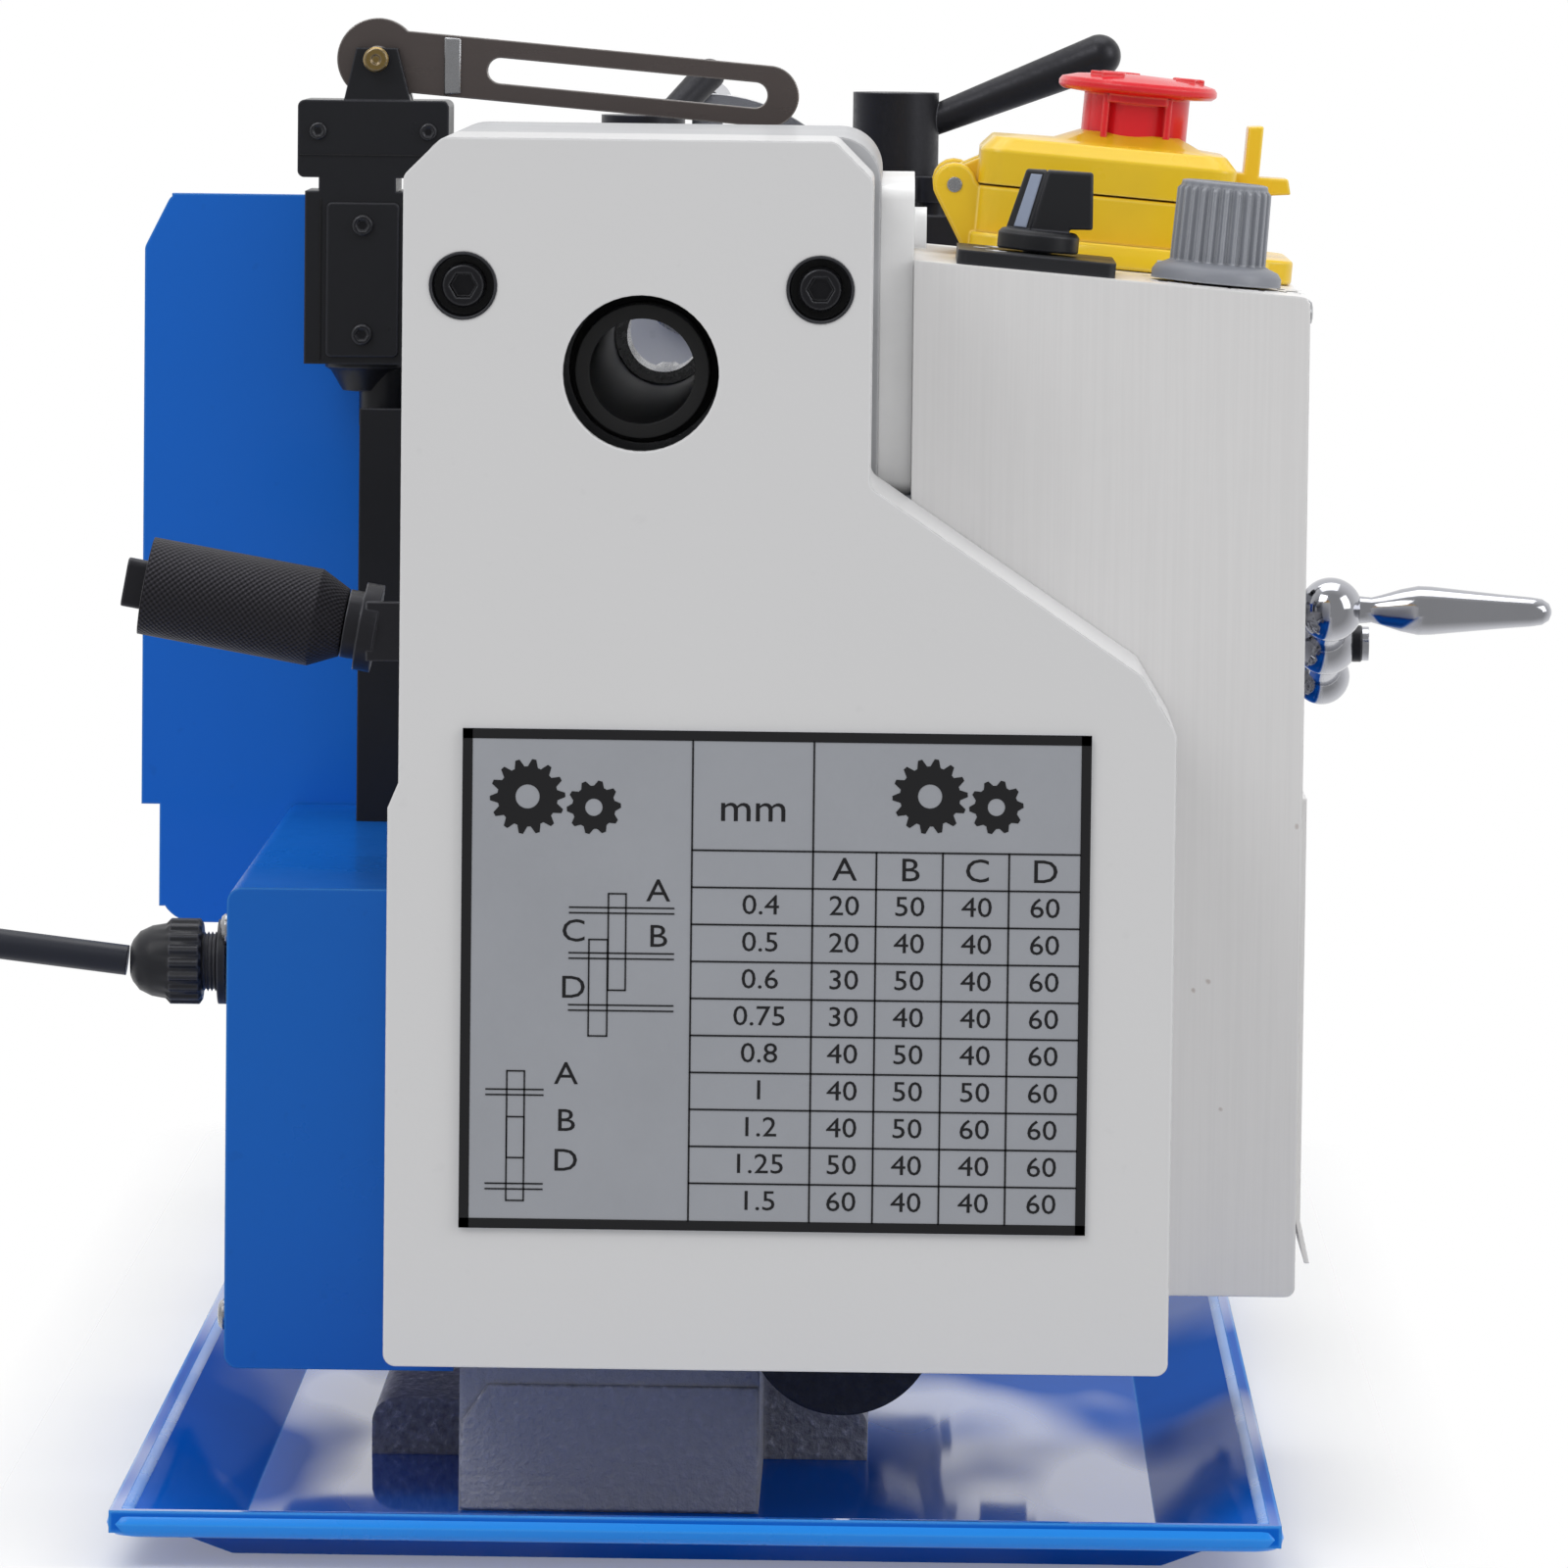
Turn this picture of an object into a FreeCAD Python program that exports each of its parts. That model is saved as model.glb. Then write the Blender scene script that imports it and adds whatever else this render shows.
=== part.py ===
import FreeCAD, Part
import math
import os

# Small bench lathe, every size in millimetres.
# +X runs from the headstock to the tailstock, +Y to the rear, +Z up.
# Z 0 is the underside of the chip tray, Y 0 is the spindle axis,
# X 0 is midway between the four bench bolts.

# Clearances and the overrun of every cutter
overrun = 5.0
tolerance = 0.01
running = 0.05
sliding = 0.12
seat = 0.3
backlash = 0.12
sheet = 1.2

# Chip tray
tray_length = 720.0
tray_front = 130.0
tray_rear = 103.0
tray_height = 12.0
tray_wall_run = 22.0
tray_rim_height = 4.5
tray_rim_width = 2.4

# Bench bolts
bolt_pitch_x = 360.0
bolt_pitch_y = 76.0
bolt_hole_radius = 3.3
bolt_hole_depth = 10.0

# Bed
bed_length = 570.0
way_height = 147.3
way_half = 41.5
rail_width = 22.0
rail_depth = 14.0
vee_width = 9.0
vee_height = 4.0
wall_outer = 38.0
wall_thick = 9.0
web_thick = 10.0
motor_tail = 5.0
web_bottom_rise = 30.0
web_drop = 16.0
web_shares = (0.38, 0.6, 0.8, 1)
foot_height = 38.8
foot_end_length = 75.0
foot_end_front = 25.1
foot_end_rear = 36.7
lug_length = 60.0
lug_front = 47.2
lug_rear = 58.5
lug_height = 12.0
lug_round = 5.0
window_margin = 4.0
window_head = 12.5

# Headstock and spindle
swing_radius = 90.0
headstock_length = 120.0
headstock_half = 47.0
headstock_top = 46.0
headstock_round = 9.0
bearing_outer = 31.0
bearing_width = 16.0
bearing_lip = 4.0
spindle_radius = 15.0
spindle_bore_radius = 10.5
spindle_tail = 50.0
tail_thread_radius = 13.35
tail_thread_length = 17.0
flange_radius = 27.5
flange_thick = 8.0
flange_gap = 2.0

# Chuck
chuck_radius = 40.0
chuck_length = 50.0
chuck_edge = 2.0
chuck_bore_radius = 8.0
jaw_width = 12.0
jaw_slot_depth = 24.0
jaw_length = 27.0
jaw_rest_radius = 10.0
jaw_height = 20.0
jaw_step = 7.5
jaw_land = 9.0
jaw_tip_flat = 1.4
scroll_outer = 33.0
scroll_inner = 14.0
scroll_thick = 8.0
key_hole_radius = 4.5
key_hole_depth = 12.0
jaw_angles = (90.0, 210.0, 330.0)

# Gears: module one, with tooth counts as plain numbers
gear_module = 1.0
addendum_share = 1.0
dedendum_share = 1.25
pressure_angle = 20.0
gear_width = 7.0
gear_gap = 2.0
hub_wall = 3.0
spindle_teeth = 40
idler_teeth = 25
stud_teeth = 40
gear_a_teeth = 40
gear_b_teeth = 60
gear_c_teeth = 50
gear_d_teeth = 60
stud_front = 27.0
stud_drop = 58.5
stud_radius = 6.0
idler_pin_radius = 4.0
idler_angle = -5.0

# Belt drive and motor
pulley_width = 8.0
pulley_gap = 4.5
spindle_pulley_radius = 23.0
motor_pulley_radius = 8.0
pulley_flange = 2.0
pulley_flange_thick = 1.0
belt_width = 5.4
belt_thick = 1.8
belt_gap = 0.15
motor_radius = 34.0
motor_length = 128.0
motor_rear = 24.0
motor_rise_share = 0.23
motor_shaft_radius = 5.0
motor_boss_radius = 12.0
motor_shaft_hole = 13.0

# Tumbler bracket, its lever and plunger
tumbler_plate = 3.0
tumbler_pivot_wall = 7.0
tumbler_arm_half = 6.0
lever_knee_rear = 54.5
lever_knee_drop = 54.9
lever_angle = 10.0
lever_collar_radius = 9.0
lever_collar_length = 3.5
lever_shaft_radius = 7.0
lever_shaft_length = 3.0
lever_pin_radius = 2.0
plunger_grip_radius = 10.0
plunger_grip_length = 35.0
plunger_taper = 6.0
plunger_travel = 5.0
plunger_pin_short = 1.0
detent_width = 14.0
detent_thick = 1.8
detent_half = 20.0
notch_half = 22.0

# Banjo and leadscrew
leadscrew_front = 52.0
leadscrew_drop = 68.5
leadscrew_radius = 8.0
leadscrew_end_radius = 6.0
screw_bracket_length = 23.0
screw_bracket_half = 14.0
screw_boss_radius = 11.0
screw_boss_length = 14.5
banjo_thick = 6.0
banjo_hub_radius = 20.0
banjo_arm_half = 9.0
banjo_lobe_radius = 19.5
banjo_lobe_front = 42.0
banjo_lobe_rise = 4.0
banjo_pin_radius = 5.0
rack_start = -70.0
rack_length = 270.0
rack_depth = 8.0
rack_height = 10.0

# End cover over the gears
cover_length = 57.0
cover_gap = 3.0
cover_wall = 3.0
cover_rear = 47.4
cover_rear_low = 49.5
cover_front = 45.7
cover_front_low = 107.3
cover_top = 46.3
cover_corner = 7.6
cover_step_top = 22.0
cover_step_low = 58.9
cover_shoulder = 70.5
cover_shoulder_inset = 7.0
cover_joggle_top = 82.0
cover_joggle_low = 87.0
cover_bottom = 199.0
cover_round = 2.5
cover_hole_radius = 15.5
cover_screw_half = 35.4
cover_screw_rise = 17.0
cover_screw_recess = 6.7
cover_recess_depth = 6.0
cover_post_radius = 9.6
cap_head_radius = 4.25
cap_head_height = 5.0
cap_screw_radius = 2.5
cap_socket_radius = 2.3
cap_socket_depth = 2.5
chart_rear = 34.6
chart_width = 125.0
chart_top = 70.8
chart_height = 100.0
chart_thick = 0.8
chart_round = 1.5

# Side plate and control box
side_plate_thick = 6.9
side_plate_top = 36.5
side_plate_low = 27.0
side_screw_inset = 9.0
box_gap = 0.3
box_length = 120.0
box_width = 80.8
box_drop = 190.5
box_top = 21.2
box_tilt = 4.7
box_round = 2.0
box_notch_radius = 13.0
board_gap = 10.0
board_thick = 1.6
board_margin = 12.0
standoff_radius = 3.0
front_sheet = 1.0
front_sheet_gap = 0.2
front_sheet_margin = 8.0
front_sheet_rise = 6.0
front_sheet_height = 96.0
front_lip = 2.0
front_lip_height = 9.0

# Switches on the sloped top of the control box, measured from its rear left edge
switch_plate_thick = 3.0
switch_plate_start = 8.7
switch_plate_width = 32.5
switch_plate_length = 44.0
switch_plate_inset = 4.0
direction_along = 26.0
direction_out = 25.2
direction_base_radius = 8.3
direction_base_height = 4.4
direction_grip_radius = 9.0
direction_grip_half = 3.6
direction_grip_height = 13.2
speed_along = 26.0
speed_out = 62.4
speed_skirt_radius = 13.4
speed_skirt_height = 4.0
speed_cap_radius = 9.7
speed_cap_height = 17.0
knob_spindle_radius = 3.0
knob_gap = 0.4
estop_along = 88.0
estop_out = 45.4
estop_width = 68.0
estop_length = 60.0
estop_height = 15.0
estop_round = 6.0
estop_wall = 2.5
lid_width = 54.0
lid_length = 52.0
lid_height = 10.5
lid_round = 5.0
hinge_radius = 4.2
hinge_pin_radius = 1.8
hinge_ear = 8.0
hinge_out = 7.2
hinge_rise = 14.5
latch_width = 14.0
latch_thick = 3.0
latch_height = 15.0
button_collar_radius = 14.5
button_collar_height = 2.0
button_neck_radius = 11.2
button_neck_height = 16.0
button_radius = 16.8
button_height = 2.6
button_crown = 1.4
button_stand = 4.6
button_travel = 4.0
button_offset = 1.5
button_crown_share = 0.72

# Rear electrics box, gland and power cord
rear_box_length = 199.0
rear_box_rear = 85.3
rear_box_low = 10.0
rear_box_drop = 19.1
rear_box_round = 3.0
gland_along = 17.0
gland_drop = 17.0
gland_flange_radius = 9.4
gland_flange = 2.2
gland_neck_radius = 7.4
gland_neck = 5.0
gland_nut_radius = 8.75
gland_nut = 8.0
gland_dome = 6.4
gland_dome_radius = 5.6
cord_radius = 3.15
cord_last_run = 22.0

# Splash guard and its wing
guard_gap = 0.4
wing_front = 56.0
wing_top = 27.6
wing_rear = 118.0
wing_chamfer = 6.0
wing_rise = 0.8
skirt_rear = 113.9
skirt_front = 42.0
skirt_drop = 27.8
skirt_round = 8.0
guard_end_gap = 25.6
guard_top = 8.0
guard_drop = 24.2
guard_end_depth = 36.0
guard_hem = 3.0
spacer_radius = 6.0
spacer_shares = (0.42, 0.86)
spacer_drop = 12.2

# Guard switch, its bracket and arm
bracket_inset = 42.0
bracket_depth = 31.0
bracket_sheet = 2.0
bracket_rear = 67.4
bracket_width = 25.0
bracket_front_height = 91.1
bracket_back_height = 136.0
switch_depth = 25.0
switch_drop = 8.5
switch_body_rear = 80.0
switch_body_width = 23.0
switch_head_rear = 81.7
switch_head_width = 33.2
switch_head_low = 32.5
switch_head_top = 49.5
switch_notch = 3.0
switch_gland_radius = 5.4
switch_gland_height = 14.0
switch_cable_radius = 3.0
clevis_rear = 72.0
clevis_low_width = 15.4
clevis_top_width = 9.0
clevis_height = 11.5
clevis_cheek = 5.0
arm_pivot_rear = 64.5
arm_pivot_rise = 58.5
arm_pin_radius = 2.7
arm_disc_radius = 9.0
arm_thick = 4.0
arm_half = 6.75
arm_bend_rear = 46.5
arm_bend_rise = 57.0
arm_tip_front = 21.5
arm_tip_rise = 51.3
arm_slot_half = 2.8
arm_slot_start = 9.0
arm_slot_end_gap = 3.0
arm_inset = 8.0
arm_pin_over = 1.0
switch_gland_inset = 6.0

# Carriage
carriage_x = 7.0
saddle_length = 100.0
saddle_base = 9.0
saddle_rear = 54.0
saddle_front = 86.0
saddle_bridge_half = 27.0
saddle_wing = 18.0
dovetail_half = 20.0
dovetail_height = 13.0
dovetail_slope = 6.0
dovetail_rear = 50.0
dovetail_front = 78.0
keeper_drop = 3.8
apron_length = 112.0
apron_thick = 12.0
apron_front = 85.0
apron_drop = 96.5
apron_round = 8.0

# Apron gears and handwheel
pinion_teeth = 12
big_gear_teeth = 36
hand_gear_teeth = 15
pinion_along = 8.0
hand_gear_drop = 15.0
apron_shaft_radius = 4.0
apron_gear_width = 6.0
handwheel_radius = 36.0
handwheel_thick = 7.0
handwheel_hub_radius = 10.0
handwheel_gap = 10.0
handwheel_rim = 6.0
spoke_half = 4.0
spoke_inset = 1.2
spoke_angles = (90.0, 210.0, 330.0)
handle_radius = 6.0
handle_length = 34.0
handle_shares = ((0, 0.6), (0.25, 0.5), (0.7, 1), (1, 0.75))

# Half nuts
half_nut_length = 36.0
half_nut_start = 2.0
half_nut_height = 13.0
half_nut_depth = 29.7
half_nut_open = 4.0
half_nut_bore_gap = 0.15
half_nut_lever_along = 37.0
half_nut_hub_radius = 9.0
half_nut_lever_length = 48.0
half_nut_grip_radius = 5.0
half_nut_lever_shares = (0.7, 0.5)

# Cross slide, compound and tool post
cross_width = 72.0
cross_front = 88.0
cross_rear = 42.0
cross_height = 27.0
cross_edge = 2.0
cross_screw_rise = 13.5
cross_screw_radius = 5.0
screw_groove = 7.5
cross_bracket_front = 118.0
cross_bracket_width = 25.0
cross_bracket_height = 19.0
dial_radius = 15.0
dial_length = 18.0
dial_gap = 0.3
cross_hub_front = 151.4
ball_radius = 7.4
ball_step = 24.0
ball_neck = 4.2
crank_tilt = 23.0
crank_end_share = 0.9
crank_cap_radius = 4.0
crank_cap_height = 2.5
handle_collar_radius = 4.0
handle_neck_radius = 2.8
handle_belly_radius = 5.7
handle_tip_radius = 3.1
handle_reach = 46.0
handle_collar_share = 0.09
handle_belly_share = 0.35
handle_pin_radius = 1.9
compound_x = 20.0
compound_front = 49.5
swivel_radius = 30.0
swivel_height = 10.0
swivel_spigot_radius = 12.0
swivel_spigot_depth = 8.0
compound_width = 46.0
compound_base_length = 90.0
compound_base_height = 13.0
compound_dovetail_half = 13.0
compound_dovetail_height = 8.0
compound_top_length = 84.0
compound_top_height = 15.0
compound_screw_radius = 3.5
compound_dial_radius = 11.0
compound_dial_length = 14.0
compound_crank_gap = 8.0
compound_bearing_length = 19.0
compound_bearing_half = 8.5
compound_ball_share = 0.72
post_x = 12.0
post_half = 24.0
post_height = 38.0
post_slot_depth = 13.0
post_slot_low = 7.0
post_slot_height = 14.0
post_stud_radius = 6.0
post_screw_radius = 3.0
post_screw_rise = 9.0
post_screw_inset = 9.0
post_head_radius = 4.5
post_head_height = 6.0
post_hub_radius = 10.0
post_hub_height = 27.7
post_lever_length = 47.2
post_lever_rise = 19.0
post_lever_root = 3.2
post_lever_tip = 5.0
post_stud_share = 0.8

# Tailstock
tailstock_x = 225.0
tailstock_length = 96.0
tailstock_half = 40.0
tailstock_base = 24.0
tailstock_neck_half = 22.0
tailstock_barrel_radius = 26.0
quill_radius = 12.5
quill_reach = 30.0
quill_length = 94.0
centre_radius = 8.0
centre_length = 26.0
centre_taper = 5.8
centre_socket = 30.0
tail_flange_radius = 24.0
tail_flange_thick = 8.0
tail_wheel_radius = 45.0
tail_wheel_thick = 10.0
tail_wheel_gap = 12.0
tail_screw_radius = 5.0
lock_along = -34.0
lock_rear = 14.0
lock_hub_radius = 10.5
lock_hub_height = 14.0
lock_stem_radius = 5.0
lock_lever_length = 32.0
lock_lever_rise = 17.0
lock_lever_share = 0.6
lock_tip_radius = 4.0
clamp_thick = 8.0
clamp_stud_radius = 5.0
clamp_gap = 1.0

# Mains lead: its free stretch by hand, its coil by formula
coil_x = -226.0
coil_y = 250.0
coil_mid_radius = 35.0
coil_turns = 7.0
coil_pitch = 6.9
coil_lift = 0.6
coil_start_angle = 180.0
plug_tail = 23.0
cord_route = [
    (-268.0, 106.9, 112.4),
    (-268.0, 124.0, 112.4),
    (-268.4, 146.0, 110.6),
    (-269.2, 168.0, 99.0),
    (-270.4, 181.0, 74.0),
    (-271.6, 186.0, 46.0),
    (-272.6, 196.0, 17.0),
]
plug_length = 40.0
plug_width = 25.0
plug_relief = 16.0
plug_relief_radius = 5.0
plug_pin_length = 17.0
plug_pin_height = 6.4
plug_pin_thick = 1.5
plug_pin_half = 6.35
plug_edge = 4.0

# Derived places
way_z = sheet + way_height
axis_z = way_z + swing_radius
bed_start = -bed_length / 2
bed_end = bed_length / 2
foot_top = sheet + foot_height
head_start = bed_start
head_end = head_start + headstock_length
flange_x = head_end + flange_gap
chuck_x = flange_x + flange_thick
chuck_end = chuck_x + chuck_length
tail_x = head_start - spindle_tail
cover_back = head_start - cover_gap
cover_face = cover_back - cover_length
pulley_x = (head_start - pulley_gap - pulley_width, head_start - pulley_gap)
tumbler_x = (pulley_x[0] - gear_gap - tumbler_plate, pulley_x[0] - gear_gap)
plane_1 = (tumbler_x[0] - gear_gap / 2 - gear_width, tumbler_x[0] - gear_gap / 2)
plane_2 = (plane_1[0] - gear_gap - gear_width, plane_1[0] - gear_gap)
plane_3 = (plane_2[0] - gear_gap - gear_width, plane_2[0] - gear_gap)
box_start = cover_back + box_gap
box_end = box_start + box_length
box_rear_y = -headstock_half - side_plate_thick
box_front_y = box_rear_y - box_width
box_top_z = axis_z + box_top
saddle_start = carriage_x - saddle_length / 2
saddle_end = carriage_x + saddle_length / 2
saddle_top = way_z + sliding + saddle_base
dovetail_top = saddle_top + dovetail_height
cross_low = saddle_top + sliding
cross_top = cross_low + cross_height
compound_low = cross_top
swivel_top = compound_low + swivel_height
compound_way = swivel_top + compound_base_height
compound_top_z = compound_way + sliding + compound_top_height
post_low = compound_top_z + sliding
post_top = post_low + post_height
tail_start = tailstock_x - tailstock_length / 2
tail_end = tailstock_x + tailstock_length / 2
leadscrew_height = way_z - leadscrew_drop
motor_play = way_z - rail_depth - foot_top - 2 * motor_radius
motor_height = foot_top + motor_radius + motor_play * motor_rise_share
banjo_lobe_height = foot_top + banjo_lobe_rise
apron_bottom = way_z - apron_drop
cross_screw_height = way_z + cross_screw_rise
box_bottom = axis_z - box_drop
front_sheet_low = box_bottom + front_sheet_rise
front_sheet_high = front_sheet_low + front_sheet_height
rear_box_top = way_z - rear_box_drop
rear_box_bottom = foot_top - rear_box_low
gland_height = rear_box_top - gland_drop
wing_bottom = rear_box_top + wing_rise
skirt_bottom = wing_bottom - skirt_drop
guard_bottom = wing_bottom - guard_drop
spacer_height = wing_bottom - spacer_drop
switch_low = axis_z - switch_drop


def point(x, y, z):
    return FreeCAD.Vector(x, y, z)


def unit(vector):
    return FreeCAD.Vector(vector).normalize()


def box(x, y, z):
    """Box between the lower and higher value of each pair."""
    return Part.makeBox(x[1] - x[0], y[1] - y[0], z[1] - z[0], point(x[0], y[0], z[0]))


def rod(radius, start, end):
    """Round bar from one point to another."""
    return Part.makeCylinder(radius, (end - start).Length, start, end - start)


def cone(start_radius, end_radius, start, end):
    """Round taper from one point to another."""
    length = (end - start).Length
    return Part.makeCone(start_radius, end_radius, length, start, end - start)


def ball(radius, centre):
    return Part.makeSphere(radius, centre)


def bore(radius, start, end):
    """Cutter for a hole, run past both ends."""
    along = unit(end - start) * overrun
    return rod(radius, start - along, end + along)


def pipe(outer, inner, start, end):
    return rod(outer, start, end).cut(bore(inner, start, end))


def x_rod(radius, x, y, z):
    return rod(radius, point(x[0], y, z), point(x[1], y, z))


def y_rod(radius, x, y, z):
    return rod(radius, point(x, y[0], z), point(x, y[1], z))


def z_rod(radius, x, y, z):
    return rod(radius, point(x, y, z[0]), point(x, y, z[1]))


def x_pipe(outer, inner, x, y, z):
    return pipe(outer, inner, point(x[0], y, z), point(x[1], y, z))


def fuse(shapes):
    """One solid from touching or overlapping solids."""
    whole = shapes[0].multiFuse(shapes[1:]).removeSplitter()
    return whole


def group(shapes):
    """Separate solids that share one node."""
    return Part.makeCompound(shapes)


def span(low, length):
    return (low, low + length)


def centred(middle, width):
    return (middle - width / 2, middle + width / 2)


def grown(pair, amount):
    return (pair[0] - amount, pair[1] + amount)


def shifted(pair, amount):
    return (pair[0] + amount, pair[1] + amount)


def outline(points, radii):
    """Closed flat outline whose corners are rounded by tangent arcs.

    radii is one radius for all corners, or one for each.
    """
    count = len(points)
    corners = [point(a, b, 0) for a, b in points]
    if not isinstance(radii, (list, tuple)):
        radii = [radii] * count
    starts, middles, ends = [], [], []
    for i in range(count):
        here = corners[i]
        back = unit(corners[i - 1] - here)
        on = unit(corners[(i + 1) % count] - here)
        if radii[i] == 0:
            starts.append(here)
            middles.append(None)
            ends.append(here)
            continue
        half = math.acos(max(-1, min(1, back.dot(on)))) / 2
        inward = unit(back + on)
        starts.append(here + back * (radii[i] / math.tan(half)))
        ends.append(here + on * (radii[i] / math.tan(half)))
        middles.append(here + inward * (radii[i] / math.sin(half) - radii[i]))
    edges = []
    for i in range(count):
        if middles[i] is not None:
            edges.append(Part.Arc(starts[i], middles[i], ends[i]).toShape())
        to = starts[(i + 1) % count]
        if (to - ends[i]).Length > tolerance:
            edges.append(Part.LineSegment(ends[i], to).toShape())
    return Part.Wire(edges)


def link_outline(centre_a, radius_a, centre_b, radius_b):
    """Outline of two discs and the straight sides that join them."""
    a = point(centre_a[0], centre_a[1], 0)
    b = point(centre_b[0], centre_b[1], 0)
    along = unit(b - a)
    side = point(-along.y, along.x, 0)
    lean = math.acos((radius_a - radius_b) / (b - a).Length)
    up = along * math.cos(lean) + side * math.sin(lean)
    down = along * math.cos(lean) - side * math.sin(lean)
    return Part.Wire([
        Part.LineSegment(b + up * radius_b, a + up * radius_a).toShape(),
        Part.Arc(a + up * radius_a, a - along * radius_a, a + down * radius_a).toShape(),
        Part.LineSegment(a + down * radius_a, b + down * radius_b).toShape(),
        Part.Arc(b + down * radius_b, b + along * radius_b, b + up * radius_b).toShape(),
    ])


def prism_z(wire, z):
    """A flat outline in X and Y, raised between two heights."""
    solid = Part.Face(wire).extrude(point(0, 0, z[1] - z[0]))
    solid.translate(point(0, 0, z[0]))
    return solid


def prism_x(wire, x):
    """A flat outline drawn in Y and Z, run between two places on X."""
    turn = FreeCAD.Rotation(point(0, 1, 0), point(0, 0, 1), point(1, 0, 0), "XYZ")
    solid = Part.Face(wire).extrude(point(0, 0, x[1] - x[0]))
    solid.Placement = FreeCAD.Placement(point(x[0], 0, 0), turn)
    return solid


def prism_y(wire, y):
    """A flat outline drawn in X and Z, run between two places on Y."""
    turn = FreeCAD.Rotation(point(1, 0, 0), point(0, 0, 1), point(0, -1, 0), "XYZ")
    solid = Part.Face(wire).extrude(point(0, 0, y[1] - y[0]))
    solid.Placement = FreeCAD.Placement(point(0, y[1], 0), turn)
    return solid


def rectangle(a, b, radius=0):
    return outline([(a[0], b[0]), (a[1], b[0]), (a[1], b[1]), (a[0], b[1])], radius)


def rounded_box(x, y, z, radius):
    """Box whose upright corners are rounded."""
    return prism_z(rectangle(x, y, radius), z)


def on_circle(centre, radius, angle):
    turn = math.radians(angle)
    return (centre[0] + radius * math.cos(turn), centre[1] + radius * math.sin(turn))


def direction(centre_a, centre_b):
    return math.degrees(math.atan2(centre_b[1] - centre_a[1], centre_b[0] - centre_a[0]))


def meeting_point(centre_a, reach_a, centre_b, reach_b, side):
    """Point at two given distances from two centres, on the chosen side."""
    gap = math.dist(centre_a, centre_b)
    along = (reach_a ** 2 - reach_b ** 2 + gap ** 2) / (2 * gap)
    across = math.sqrt(reach_a ** 2 - along ** 2) * side
    u = ((centre_b[0] - centre_a[0]) / gap, (centre_b[1] - centre_a[1]) / gap)
    return (
        centre_a[0] + u[0] * along - u[1] * across,
        centre_a[1] + u[1] * along + u[0] * across,
    )


def pitch_radius(teeth):
    return gear_module * teeth / 2


def tip_radius(teeth):
    return pitch_radius(teeth) + gear_module * addendum_share


def half_tooth(teeth, radius):
    """Half the angle of an involute tooth at a radius, in radians."""
    pressure = math.radians(pressure_angle)
    pitch = pitch_radius(teeth)
    base = pitch * math.cos(pressure)
    lean = math.acos(min(1, base / max(radius, base)))
    spread = math.tan(pressure) - pressure - (math.tan(lean) - lean)
    return math.pi / (2 * teeth) + spread - backlash / (2 * pitch)


def gear_outline(teeth, centre, phase):
    """Toothed outline with one tooth centred on the angle phase, in degrees."""
    root = pitch_radius(teeth) - gear_module * dedendum_share
    points = []
    for tooth in range(teeth):
        middle = phase + tooth * 360 / teeth
        for radius, side in (
            (root, -1), (pitch_radius(teeth), -1), (tip_radius(teeth), -1),
            (tip_radius(teeth), 1), (pitch_radius(teeth), 1), (root, 1),
        ):
            angle = middle + side * math.degrees(half_tooth(teeth, radius))
            points.append(on_circle(centre, radius, angle))
    return outline(points, 0)


def meshed_phase(phase_a, teeth_a, teeth_b, toward_b):
    """Phase of gear b so that its gaps meet the teeth of gear a."""
    tooth_a = (toward_b - phase_a) / (360 / teeth_a)
    return toward_b + 180 - (0.5 - tooth_a) * 360 / teeth_b


def x_gear(teeth, centre, phase, x, hole):
    blank = prism_x(gear_outline(teeth, centre, phase), x)
    return blank.cut(x_rod(hole, grown(x, overrun), centre[0], centre[1]))


spindle_at = (0, axis_z)
stud_at = (-stud_front, axis_z - stud_drop)
screw_at = (-leadscrew_front, leadscrew_height)
idler_1_at = meeting_point(
    spindle_at, pitch_radius(spindle_teeth + idler_teeth),
    stud_at, pitch_radius(stud_teeth + idler_teeth), 1,
)
idler_2_at = on_circle(idler_1_at, pitch_radius(2 * idler_teeth), idler_angle)
banjo_at = meeting_point(
    stud_at, pitch_radius(gear_a_teeth + gear_b_teeth),
    screw_at, pitch_radius(gear_c_teeth + gear_d_teeth), -1,
)
motor_at = (motor_rear, motor_height)
lobe_at = (-banjo_lobe_front, banjo_lobe_height)

spindle_phase = direction(spindle_at, idler_1_at)
idler_1_phase = meshed_phase(spindle_phase, spindle_teeth, idler_teeth, spindle_phase)
idler_2_phase = meshed_phase(idler_1_phase, idler_teeth, idler_teeth, idler_angle)
stud_phase = meshed_phase(
    idler_1_phase, idler_teeth, stud_teeth, direction(idler_1_at, stud_at)
)
gear_a_phase = direction(stud_at, banjo_at)
gear_b_phase = meshed_phase(gear_a_phase, gear_a_teeth, gear_b_teeth, gear_a_phase)
gear_c_phase = direction(banjo_at, screw_at)
gear_d_phase = meshed_phase(gear_c_phase, gear_c_teeth, gear_d_teeth, gear_c_phase)


def sloped_pan(x, y, z, run):
    """Solid that widens upward from a floor to a rim."""
    wires = []
    for level, inset in ((z[0], run), (z[1], 0)):
        a, b = grown(x, -inset), grown(y, -inset)
        corners = [
            point(a[0], b[0], level), point(a[1], b[0], level),
            point(a[1], b[1], level), point(a[0], b[1], level), point(a[0], b[0], level),
        ]
        wires.append(Part.makePolygon(corners))
    return Part.makeLoft(wires, True, True)


def bench_holes(solid, z):
    """The four bench bolt holes, between two heights."""
    for x in (-bolt_pitch_x / 2, bolt_pitch_x / 2):
        for y in (-bolt_pitch_y / 2, bolt_pitch_y / 2):
            solid = solid.cut(z_rod(bolt_hole_radius, x, y, z))
    return solid


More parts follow.
